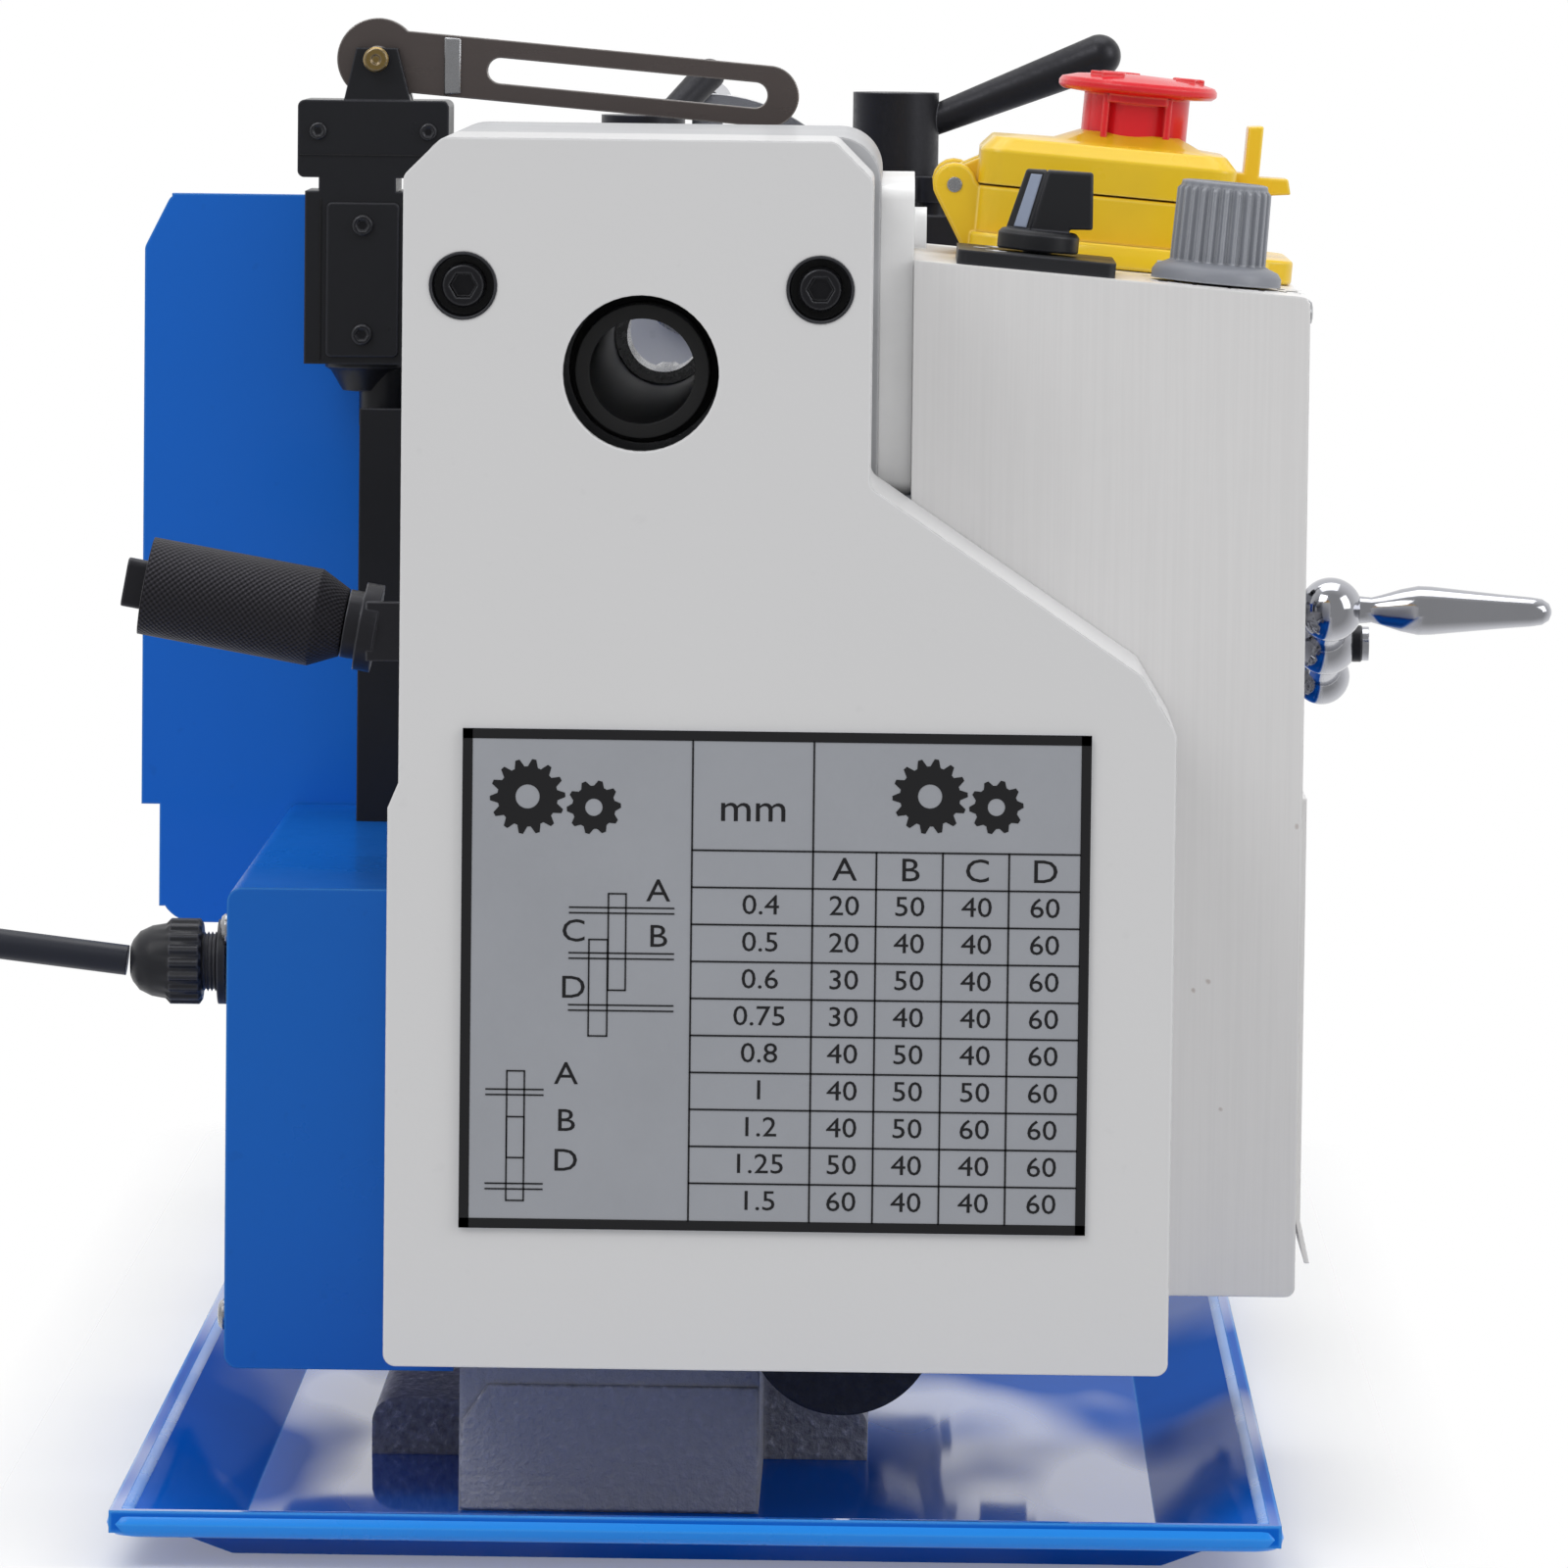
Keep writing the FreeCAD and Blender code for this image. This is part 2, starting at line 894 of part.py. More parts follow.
def make_chip_tray():
    x = centred(0, tray_length)
    y = (-tray_front, tray_rear)
    wall_x, wall_y = grown(x, -tray_rim_width / 2), grown(y, -tray_rim_width / 2)
    tray = sloped_pan(wall_x, wall_y, (0, tray_height), tray_wall_run)
    hollow_x, hollow_y = grown(wall_x, -sheet), grown(wall_y, -sheet)
    tray = tray.cut(sloped_pan(hollow_x, hollow_y, (sheet, tray_height), tray_wall_run - sheet))
    rim_z = (tray_height - tray_rim_height, tray_height)
    inside = box(grown(x, -tray_rim_width), grown(y, -tray_rim_width), grown(rim_z, overrun))
    rim = box(x, y, rim_z).cut(inside)
    return bench_holes(fuse([tray, rim]), (-overrun, sheet + overrun))


def vee(x, play):
    """Raised vee of the front way, or with play the groove that rides on it."""
    middle = -way_half + rail_width / 2
    half = vee_width / 2 + play
    base = way_z - play
    if play > 0:
        base = way_z - overrun
        half += overrun * vee_width / 2 / vee_height
    top = way_z + vee_height + play
    flat = vee_width / 4
    points = [
        (middle - half, base), (middle + half, base),
        (middle + flat / 2, top), (middle - flat / 2, top),
    ]
    return prism_x(outline(points, 0), x)


def bed_foot(side):
    """One end of the bed: end block, wide block and lugs. side is -1 or 1."""
    near = bed_end - foot_end_length
    z = (sheet, foot_top)
    end_x = sorted((side * bed_end, side * near))
    lug_x = sorted((side * near, side * (near - lug_length)))
    end = box(end_x, (-foot_end_front, foot_end_rear), z)
    wide = box(lug_x, (-wall_outer, foot_end_rear), z)
    lug_yz = rectangle((-lug_front, lug_rear), span(sheet, lug_height), [0, 0, lug_round, lug_round])
    return [end, wide, prism_x(lug_yz, lug_x)]


def make_bed():
    x = (bed_start, bed_end)
    parts = [vee(x, 0)]
    for side in (-1, 1):
        rail_y = sorted((side * way_half, side * (way_half - rail_width)))
        wall_y = sorted((side * wall_outer, side * (wall_outer - wall_thick)))
        parts.append(box(x, rail_y, (way_z - rail_depth, way_z)))
        parts.append(box(x, wall_y, (foot_top, way_z - rail_depth)))
        parts += bed_foot(side)
    web_y = (-wall_outer + wall_thick, wall_outer - wall_thick)
    end_y = (-foot_end_front, wall_outer)
    parts.append(box(span(bed_start, web_thick), end_y, (foot_top, way_z - rail_depth)))
    for share in web_shares:
        web_x = shifted((-web_thick, 0), bed_start + bed_length * share)
        parts.append(box(web_x, web_y, (foot_top + web_bottom_rise, way_z - rail_depth - web_drop)))
    bed = fuse(parts)
    window_x = span(bed_start + web_thick, motor_length + 2 * window_margin)
    window_z = (foot_top + window_margin, way_z - rail_depth - window_head)
    bed = bed.cut(box(window_x, (wall_outer - wall_thick - overrun, wall_outer + overrun), window_z))
    bed = bed.cut(x_rod(motor_shaft_hole, grown(span(bed_start, web_thick), overrun), *motor_at))
    bed = bench_holes(bed, (sheet - overrun, sheet + bolt_hole_depth))
    return group([bed, make_rack()])


pinion_x = carriage_x + pinion_along
rack_y = (-wall_outer - rack_depth, -wall_outer)
rack_z = (way_z - rail_depth - rack_height, way_z - rail_depth)
rack_pitch_z = rack_z[0] + gear_module * addendum_share
pinion_at = (pinion_x, rack_pitch_z - pitch_radius(pinion_teeth))
hand_reach = pitch_radius(big_gear_teeth + hand_gear_teeth)
hand_at = (
    pinion_x - math.sqrt(hand_reach ** 2 - hand_gear_drop ** 2),
    pinion_at[1] - hand_gear_drop,
)
apron_y = (-apron_front, -apron_front + apron_thick)
apron_gear_y = span(apron_y[1] + gear_gap / 2, apron_gear_width)


def make_rack():
    """Toothed bar under the front way, one gap above the pinion."""
    pitch = math.pi * gear_module
    lean = math.tan(math.radians(pressure_angle)) * gear_module
    tip_half = pitch / 4 - lean * addendum_share - backlash / 2
    root_half = pitch / 4 + lean * dedendum_share
    root_z = rack_z[0] + gear_module * (addendum_share + dedendum_share)
    count = int(rack_length / pitch)
    first = pinion_x + pitch * (0.5 - int((pinion_x - rack_start) / pitch))
    points = []
    for tooth in range(count):
        x = first + tooth * pitch
        points += [(x - root_half, root_z), (x - tip_half, rack_z[0])]
        points += [(x + tip_half, rack_z[0]), (x + root_half, root_z)]
    points += [(points[-1][0], rack_z[1]), (points[0][0], rack_z[1])]
    return prism_y(outline(points, 0), rack_y)


lever_x = pulley_x[0] + tumbler_plate
lever_knee = (lever_knee_rear, axis_z - lever_knee_drop)


def lever_point(distance):
    """Point along the sloping lever, measured rearward from its knee."""
    turn = math.radians(lever_angle)
    y = lever_knee[0] + distance * math.cos(turn)
    return point(lever_x, y, lever_knee[1] + distance * math.sin(turn))


def make_headstock():
    """Casting with its detent ear, the gear pins it carries and both bearings."""
    x = (head_start, head_end)
    top = axis_z + headstock_top
    yz = [(-headstock_half, way_z), (headstock_half, way_z), (headstock_half, top), (-headstock_half, top)]
    round_top = headstock_round
    body = prism_x(outline(yz, [0, 0, round_top, round_top]), x)
    body = body.cut(vee(grown(x, overrun), sliding))
    body = body.cut(x_rod(bearing_outer - bearing_lip, grown(x, overrun), 0, axis_z))
    for seat_x in (span(head_start, bearing_width), (head_end - bearing_width, head_end)):
        body = body.cut(x_rod(bearing_outer, seat_x, 0, axis_z))
    ear_x = (head_start - pulley_gap - detent_width / 2, head_start + detent_width)
    ear_y = span(headstock_half, detent_thick)
    ear_z = centred(lever_knee[1], 2 * detent_half)
    ear = prism_y(rectangle(ear_x, ear_z, detent_thick), ear_y)
    for angle in (-lever_angle, 0, lever_angle):
        z = lever_knee[1] + (lever_knee[0] - stud_at[0]) * math.tan(math.radians(angle))
        hole_y = grown(ear_y, overrun)
        ear = ear.cut(y_rod(lever_pin_radius + sliding, lever_x, hole_y, z))
    body = fuse([body, ear])
    bearings = []
    for seat_x in (span(head_start, bearing_width), (head_end - bearing_width, head_end)):
        outer = bearing_outer - running / 2
        bearings.append(x_pipe(outer, spindle_radius + running, seat_x, 0, axis_z))
    pins = [x_rod(stud_radius, (plane_2[0] - gear_gap, head_start), *stud_at)]
    for at in (idler_1_at, idler_2_at):
        pins.append(x_rod(idler_pin_radius, (plane_1[0] - seat, head_start), *at))
    return group([body] + pins + bearings)


def make_spindle():
    nose = x_rod(flange_radius, (flange_x, chuck_x), 0, axis_z)
    shaft = x_rod(spindle_radius, (tail_x + tail_thread_length, flange_x), 0, axis_z)
    tail = x_rod(tail_thread_radius, (tail_x, tail_x + tail_thread_length), 0, axis_z)
    whole = fuse([nose, shaft, tail])
    return whole.cut(x_rod(spindle_bore_radius, (tail_x - overrun, chuck_x + overrun), 0, axis_z))


def make_pulley(radius, centre, hole):
    """Belt wheel with a thin flange on each side."""
    wheel = x_rod(radius, pulley_x, *centre)
    low = x_rod(radius + pulley_flange, span(pulley_x[0], pulley_flange_thick), *centre)
    high_x = (pulley_x[1] - pulley_flange_thick, pulley_x[1])
    high = x_rod(radius + pulley_flange, high_x, *centre)
    return fuse([wheel, low, high]).cut(x_rod(hole, grown(pulley_x, overrun), *centre))


def make_spindle_gears():
    hole = spindle_radius + running / 2
    toothed = x_gear(spindle_teeth, spindle_at, spindle_phase, plane_1, hole)
    sleeve_x = (plane_1[1], pulley_x[0])
    sleeve = x_pipe(spindle_radius + hub_wall, hole, sleeve_x, *spindle_at)
    nut_x = span(plane_1[0] - gear_width, gear_width)
    nut = x_pipe(spindle_radius + hub_wall, hole, nut_x, *spindle_at)
    return group([fuse([toothed, sleeve, nut]), make_pulley(spindle_pulley_radius, spindle_at, hole)])


def make_belt():
    x = centred((pulley_x[0] + pulley_x[1]) / 2, belt_width)
    loops = []
    for extra in (belt_gap + belt_thick, belt_gap):
        wire = link_outline(
            spindle_at, spindle_pulley_radius + extra, motor_at, motor_pulley_radius + extra,
        )
        loops.append(prism_x(wire, x))
    return loops[0].cut(loops[1])


def make_motor():
    face = bed_start + web_thick
    x = span(face, motor_length)
    can = x_rod(motor_radius, x, *motor_at)
    boss = x_rod(motor_boss_radius, (bed_start, face), *motor_at)
    tail = x_rod(motor_boss_radius, span(x[1], motor_tail), *motor_at)
    whole = fuse([can, boss, tail])
    return whole.cut(x_rod(motor_shaft_radius + running, (bed_start - overrun, x[1] - web_thick), *motor_at))


def make_motor_rotor():
    shaft = x_rod(motor_shaft_radius, (pulley_x[0] - gear_gap, bed_start + motor_length), *motor_at)
    wheel = make_pulley(motor_pulley_radius, motor_at, motor_shaft_radius)
    return fuse([shaft, wheel])


def make_tumbler_bracket():
    """Plate that pivots on the stud, with the hollow lever behind."""
    arm_end = (lever_knee[0] - lever_collar_radius, lever_knee[1])
    arm = link_outline(stud_at, stud_radius + tumbler_pivot_wall, arm_end, tumbler_arm_half)
    knee = rectangle(
        (lever_knee[0] - lever_collar_radius - tumbler_arm_half, lever_knee[0] + lever_collar_length / 2),
        centred(lever_knee[1], 2 * tumbler_arm_half),
    )
    plates = [prism_x(arm, tumbler_x), prism_x(knee, tumbler_x)]
    collar = rod(lever_collar_radius, lever_point(0), lever_point(lever_collar_length))
    shaft_end = lever_collar_length + lever_shaft_length
    shaft = rod(lever_shaft_radius, lever_point(0), lever_point(shaft_end))
    whole = fuse(plates + [collar, shaft])
    whole = whole.cut(x_rod(stud_radius + running, grown(tumbler_x, overrun), *stud_at))
    return whole.cut(rod(lever_pin_radius + running, lever_point(-overrun), lever_point(shaft_end + overrun)))


def make_idler(centre, phase):
    return x_gear(idler_teeth, centre, phase, plane_1, idler_pin_radius + running)


def make_plunger():
    """Knurled pull knob with the pin that drops into the detent ear."""
    start = lever_collar_length + lever_shaft_length + seat
    taper = cone(
        lever_shaft_radius, plunger_grip_radius,
        lever_point(start), lever_point(start + plunger_taper),
    )
    grip = rod(
        plunger_grip_radius, lever_point(start + plunger_taper),
        lever_point(start + plunger_taper + plunger_grip_length),
    )
    pin_tip = lever_point(plunger_pin_short - plunger_travel)
    pin = rod(lever_pin_radius, pin_tip, lever_point(start + plunger_taper))
    return fuse([taper, grip, pin])


def make_stud_gears():
    """Output gear of the tumbler train and change gear A, keyed together."""
    hole = stud_radius + running
    first = x_gear(stud_teeth, stud_at, stud_phase, plane_1, hole)
    second = x_gear(gear_a_teeth, stud_at, gear_a_phase, plane_2, hole)
    sleeve = x_pipe(stud_radius + hub_wall, hole, (plane_2[1], plane_1[0]), *stud_at)
    return group([fuse([first, sleeve]), second])


def make_banjo():
    """Slotted arm that carries the middle change gears and clamps on a boss."""
    x = (tumbler_x[0], tumbler_x[0] + banjo_thick)
    arm = prism_x(link_outline(screw_at, banjo_hub_radius, banjo_at, banjo_arm_half), x)
    lobe = prism_x(link_outline(screw_at, banjo_hub_radius, lobe_at, banjo_lobe_radius), x)
    pin = x_rod(banjo_pin_radius, (plane_3[0] - running, x[1]), *banjo_at)
    plate = fuse([arm, lobe])
    plate = plate.cut(x_rod(screw_boss_radius + running, grown(x, overrun), *screw_at))
    slot_end = (lobe_at[0], lobe_at[1] - banjo_lobe_radius / 4)
    slot_start = (lobe_at[0] - banjo_lobe_radius / 4, lobe_at[1])
    slot = link_outline(slot_start, banjo_pin_radius / 2, slot_end, banjo_pin_radius / 2)
    return fuse([plate.cut(prism_x(slot, grown(x, overrun))), pin])


def make_banjo_gears():
    hole = banjo_pin_radius + running
    inner = x_gear(gear_b_teeth, banjo_at, gear_b_phase, plane_2, hole)
    outer = x_gear(gear_c_teeth, banjo_at, gear_c_phase, plane_3, hole)
    back_x = (tumbler_x[0] - seat, plane_2[1])
    back = x_pipe(banjo_pin_radius + hub_wall, hole, (back_x[1], back_x[0]), *banjo_at)
    sleeve = x_pipe(banjo_pin_radius + hub_wall, hole, (plane_3[1], plane_2[0]), *banjo_at)
    return group([fuse([inner, sleeve, back]), outer])


def make_leadscrew():
    """Long screw with change gear D on its turned-down end."""
    bracket_end = bed_end - screw_bracket_length
    main = x_rod(leadscrew_radius, (bed_start + screw_bracket_length, bracket_end), *screw_at)
    near = x_rod(leadscrew_end_radius, (plane_3[0] - gear_gap, bed_start + screw_bracket_length), *screw_at)
    far = x_rod(leadscrew_end_radius, (bracket_end, bed_end + gear_gap), *screw_at)
    toothed = x_gear(gear_d_teeth, screw_at, gear_d_phase, plane_3, leadscrew_end_radius)
    collar_x = (plane_3[1], bed_start - screw_boss_length - seat)
    collar = x_pipe(leadscrew_end_radius + hub_wall, leadscrew_end_radius, collar_x, *screw_at)
    return group([fuse([main, near, far]), fuse([toothed, collar])])


def make_leadscrew_brackets():
    """Bearing block at each end of the leadscrew, the near one with a boss."""
    blocks = []
    hole = leadscrew_end_radius + running
    for start in (bed_start, bed_end - screw_bracket_length):
        x = span(start, screw_bracket_length)
        if start < 0:
            x = (start, x[1] - seat)
        else:
            x = (start + seat, x[1])
        y = (screw_at[0] - screw_bracket_half, -wall_outer)
        z = centred(screw_at[1], 2 * screw_bracket_half)
        corner = screw_bracket_half / 3
        block = prism_x(rectangle(y, z, [corner, 0, 0, corner]), x)
        if start < 0:
            block = fuse([block, x_rod(screw_boss_radius, (start - screw_boss_length, start), *screw_at)])
        blocks.append(block.cut(x_rod(hole, (x[0] - screw_boss_length - overrun, x[1] + overrun), *screw_at)))
    return group(blocks)


def cover_outline(inset):
    """Outline of the end cover seen from the end, drawn inward by an inset."""
    rear, rear_low = cover_rear - inset, cover_rear_low - inset
    front, front_low = -cover_front + inset, -cover_front_low + inset
    top, low = axis_z + cover_top - inset, axis_z - cover_bottom + inset
    corner = cover_corner
    step = inset * math.tan(math.radians(headstock_round))
    points = [
        (rear - corner, top), (rear, top - corner),
        (rear, axis_z - cover_joggle_top), (rear_low, axis_z - cover_joggle_low),
        (rear_low, low), (front_low, low),
        (front_low, axis_z - cover_shoulder - inset / 2),
        (front_low + cover_shoulder_inset, axis_z - cover_step_low - inset),
        (front, axis_z - cover_step_top - inset + step), (front, top - corner),
        (front + corner, top),
    ]
    points.reverse()
    small = cover_round
    return outline(points, [small, small, small, small, small * 2, small, small, 0, 0, small, small])


def make_end_cover():
    x = (cover_face, cover_back)
    shell = prism_x(cover_outline(0), x)
    shell = shell.cut(prism_x(cover_outline(cover_wall), (cover_face + cover_wall, cover_back + overrun)))
    posts = []
    for y in (-cover_screw_half, cover_screw_half):
        z = axis_z + cover_screw_rise
        posts.append(x_rod(cover_post_radius, (cover_face + cover_wall / 2, head_start), y, z))
    shell = fuse([shell] + posts)
    for y in (-cover_screw_half, cover_screw_half):
        z = axis_z + cover_screw_rise
        recess = (cover_face - overrun, cover_face + cover_recess_depth)
        shell = shell.cut(x_rod(cover_screw_recess, recess, y, z))
        shell = shell.cut(x_rod(cap_screw_radius + sliding, (cover_face, head_start + overrun), y, z))
    wall_x = grown(span(cover_face, cover_wall), overrun)
    shell = shell.cut(x_rod(cover_hole_radius, wall_x, 0, axis_z))
    notch_x = (tumbler_x[0] - gear_gap, cover_back + overrun)
    lever_z = centred(lever_knee[1], 2 * notch_half)
    shell = shell.cut(box(notch_x, (cover_rear - cover_wall - overrun, cover_rear_low + overrun), lever_z))
    lobe_y = centred(lobe_at[0], 2 * (banjo_lobe_radius + overrun))
    floor_z = axis_z - cover_bottom
    shell = shell.cut(box(notch_x, lobe_y, (floor_z - overrun, floor_z + cover_wall + overrun)))
    return shell


def cap_screw(head, inward, length):
    """Socket cap screw: head at a point, shank running inward."""
    under = head + inward * cap_head_height
    body = rod(cap_head_radius, head, under)
    shank = rod(cap_screw_radius, under, under + inward * length)
    socket = rod(cap_socket_radius, head - inward * overrun, head + inward * cap_socket_depth)
    return fuse([body, shank]).cut(socket)


def make_cover_screws():
    screws = []
    for y in (-cover_screw_half, cover_screw_half):
        head = point(cover_face + cover_recess_depth - cap_head_height, y, axis_z + cover_screw_rise)
        screws.append(cap_screw(head, point(1, 0, 0), head_start - head.x - cap_head_height))
    return group(screws)


def make_chart_plate():
    y = (chart_rear - chart_width, chart_rear)
    z = (axis_z - chart_top - chart_height, axis_z - chart_top)
    return prism_x(rectangle(y, z, chart_round), (cover_face - chart_thick, cover_face))


def make_side_plate():
    x = (head_start, box_end)
    y = (-headstock_half - side_plate_thick, -headstock_half)
    z = (axis_z - side_plate_low, axis_z + side_plate_top)
    plate = prism_y(rectangle(x, z, headstock_round / 3), y)
    screw_y = (y[0] - cap_screw_radius, y[0])
    return group([plate, y_rod(cap_head_radius, x[0] + side_screw_inset, screw_y, z[1] - side_screw_inset)])


def box_profile(inset):
    """Section of the control box in Y and Z."""
    fall = math.tan(math.radians(box_tilt))
    rear = box_rear_y + (overrun if inset else 0)
    front = box_front_y + inset
    points = [
        (front, box_bottom + inset), (rear, box_bottom + inset),
        (rear, box_top_z + (rear - box_rear_y) * fall - inset),
        (front, box_top_z + (front - box_rear_y) * fall - inset),
    ]
    return outline(points, [box_round, 0, 0, box_round])


def make_control_box():
    """Sheet box open toward the bed, its front sheet, and the board inside."""
    x = (box_start, box_end)
    shell = prism_x(box_profile(0), x).cut(prism_x(box_profile(sheet), grown(x, -sheet)))
    shell = shell.cut(x_rod(box_notch_radius, grown(x, overrun), *screw_at))
    notch_y = (screw_at[0], box_rear_y + overrun)
    shell = shell.cut(box(grown(x, overrun), notch_y, centred(screw_at[1], 2 * box_notch_radius)))
    board_y = span(box_front_y + sheet + board_gap, board_thick)
    board_x = grown(x, -board_margin)
    board_z = (box_bottom + board_margin, axis_z - side_plate_low)
    inner = [box(board_x, board_y, board_z)]
    for bx in grown(board_x, -board_margin):
        for bz in grown(board_z, -board_margin):
            inner.append(y_rod(standoff_radius, bx, (box_front_y + sheet, board_y[0]), bz))
    outer_y = (box_front_y - front_sheet_gap - front_sheet, box_front_y - front_sheet_gap)
    cover = box(grown(x, -front_sheet_margin), outer_y, (front_sheet_low, front_sheet_high))
    lip = [
        (outer_y[0], front_sheet_low + front_lip_height), (outer_y[1], front_sheet_low + front_lip_height),
        (outer_y[1] - front_lip, front_sheet_low), (outer_y[0] - front_lip, front_sheet_low),
    ]
    lip_low = prism_x(outline(lip, 0), grown(x, -front_sheet_margin))
    low = box(grown(x, overrun), grown(outer_y, overrun), (0, front_sheet_low + front_lip_height))
    return group([shell, fuse(inner), fuse([cover.cut(low), lip_low])])


def on_box_top(shape):
    """Lean a piece drawn upright over the box top to the slope of that top."""
    shape.rotate(point(0, box_rear_y, box_top_z), point(1, 0, 0), box_tilt)
    return shape


def top_at(along, out, rise):
    """Point over the control box top before it leans."""
    return point(box_start + along, box_rear_y - out, box_top_z + rise)


def knob_fixture(along, out):
    """Switch spindle that stands up through the plate into a knob."""
    high = direction_base_height + switch_plate_thick
    return rod(knob_spindle_radius, top_at(along, out, 0), top_at(along, out, high))


def make_switch_plate():
    """Black plate under the direction switch, with both switch spindles."""
    x = span(box_start + switch_plate_inset, switch_plate_length)
    y = (box_rear_y - switch_plate_start - switch_plate_width, box_rear_y - switch_plate_start)
    plate = rounded_box(x, y, span(box_top_z, switch_plate_thick), box_round)
    plate = fuse([plate, knob_fixture(direction_along, direction_out)])
    return group([on_box_top(plate), on_box_top(knob_fixture(speed_along, speed_out))])


def knob_bore(along, out, low, high):
    ends = (top_at(along, out, low - overrun), top_at(along, out, high + knob_gap))
    return rod(knob_spindle_radius + running, *ends)


def make_direction_knob():
    at = (direction_along, direction_out)
    low = switch_plate_thick + knob_gap
    middle = low + direction_base_height
    high = middle + direction_grip_height
    base = rod(direction_base_radius, top_at(*at, low), top_at(*at, middle))
    grip_x = centred(box_start + direction_along, 2 * direction_grip_half)
    grip_y = centred(box_rear_y - direction_out - direction_grip_half / 2, 2 * direction_grip_radius)
    grip = rounded_box(grip_x, grip_y, (box_top_z + middle, box_top_z + high), direction_grip_half / 2)
    knob = fuse([base, grip]).cut(knob_bore(*at, low, switch_plate_thick + direction_base_height))
    return on_box_top(knob)


def make_speed_knob():
    at = (speed_along, speed_out)
    middle = knob_gap + speed_skirt_height
    skirt_top = speed_skirt_radius - speed_skirt_height / 2
    skirt = cone(speed_skirt_radius, skirt_top, top_at(*at, knob_gap), top_at(*at, middle))
    cap = rod(speed_cap_radius, top_at(*at, middle), top_at(*at, middle + speed_cap_height))
    knob = fuse([skirt, cap]).cut(knob_bore(*at, 0, direction_base_height + switch_plate_thick))
    return on_box_top(knob)


estop_x = centred(box_start + estop_along, estop_length)
estop_y = centred(box_rear_y - estop_out, estop_width)
lid_x = centred(box_start + estop_along, lid_length)
lid_rear_y = box_rear_y - hinge_out - hinge_radius - 2 * seat
lid_y = (lid_rear_y - lid_width, lid_rear_y)
hinge_y = box_rear_y - hinge_out
hinge_z = box_top_z + hinge_rise
button_y = (lid_y[0] + lid_y[1]) / 2 - button_offset
button_x = box_start + estop_along
lid_low = box_top_z + estop_height + seat
lid_top = lid_low + lid_height
ear_span = lid_length - 4 * hinge_ear


def hinge_rod(radius, x):
    return x_rod(radius, x, hinge_y, hinge_z)


def make_estop_base():
    """Yellow tray of the stop switch with two hinge ears and the latch."""
    body = rounded_box(estop_x, estop_y, span(box_top_z, estop_height), estop_round)
    hollow_z = (box_top_z + estop_wall, box_top_z + estop_height + overrun)
    inside = (grown(estop_x, -estop_wall), grown(estop_y, -estop_wall), hollow_z)
    hollow = rounded_box(*inside, estop_round - estop_wall)
    body = body.cut(hollow)
    switch_z = (box_top_z + estop_wall, lid_low - seat)
    block = z_rod(button_neck_radius - estop_wall, button_x, button_y, switch_z)
    parts = [body, block]
    middle = (lid_x[0] + lid_x[1]) / 2
    for side in (-1, 1):
        ear_middle = middle + side * (ear_span + hinge_ear) / 2
        ear_x = centred(ear_middle, hinge_ear)
        foot_y = (estop_y[1] - estop_wall, hinge_y + hinge_radius)
        foot = box(ear_x, foot_y, (box_top_z + estop_wall, hinge_z))
        parts += [foot, hinge_rod(hinge_radius, ear_x)]
    latch_x = centred(middle, latch_width)
    latch_y = (estop_y[0] - latch_thick, estop_y[0] + latch_thick / 2)
    parts.append(box(latch_x, latch_y, span(box_top_z + estop_wall, latch_height)))
    whole = fuse(parts)
    return on_box_top(whole.cut(hinge_rod(hinge_pin_radius + running, grown(lid_x, overrun))))


def make_estop_lid():
    """Hinged lid: a shallow hood with the hinge knuckle and its pin."""
    hood = rounded_box(lid_x, lid_y, (lid_low, lid_top), lid_round)
    inside = (grown(lid_x, -estop_wall), grown(lid_y, -estop_wall), (lid_low - overrun, lid_top - estop_wall))
    hollow = rounded_box(*inside, lid_round - estop_wall)
    collar = z_rod(button_collar_radius, button_x, button_y, (lid_top, lid_top + button_collar_height))
    middle = (lid_x[0] + lid_x[1]) / 2
    knuckle_x = centred(middle, ear_span - 2 * seat)
    arm = box(knuckle_x, (lid_y[1] - estop_wall, hinge_y), (lid_low, lid_low + hinge_radius))
    pin = hinge_rod(hinge_pin_radius, centred(middle, ear_span + 2 * hinge_ear))
    lid = fuse([hood.cut(hollow), collar, arm, hinge_rod(hinge_radius - seat, knuckle_x), pin])
    hole_z = grown((lid_low, lid_top + button_collar_height), overrun)
    hole = z_rod(button_neck_radius + sliding, button_x, button_y, hole_z)
    return on_box_top(lid.cut(hole))


def make_estop_button():
    head_low = lid_top + button_collar_height + button_travel + button_stand
    neck_low = head_low - button_neck_height + seat
    neck = z_rod(button_neck_radius, button_x, button_y, (neck_low, head_low + seat))
    head = z_rod(button_radius, button_x, button_y, (head_low, head_low + button_height))
    head_top = head_low + button_height
    crown = cone(
        button_radius, button_radius * button_crown_share, point(button_x, button_y, head_top),
        point(button_x, button_y, head_top + button_crown),
    )
    return on_box_top(fuse([neck, head, crown]))


rear_box_x = span(bed_start, rear_box_length)


def make_rear_box():
    """Sheet cover over the motor, open toward the bed."""
    y = (wall_outer, rear_box_rear)
    z = (rear_box_bottom, rear_box_top)
    shell = prism_x(rectangle(y, z, [0, rear_box_round, rear_box_round, 0]), rear_box_x)
    inner_round = rear_box_round - sheet
    inside_y = (y[0] - overrun, y[1] - sheet)
    inside = rectangle(inside_y, grown(z, -sheet), [0, inner_round, inner_round, 0])
    shell = shell.cut(prism_x(inside, grown(rear_box_x, -sheet)))
    hole_y = (y[1] - sheet - overrun, y[1] + overrun)
    hole = y_rod(gland_neck_radius, rear_box_x[0] + gland_along, hole_y, gland_height)
    return shell.cut(hole)


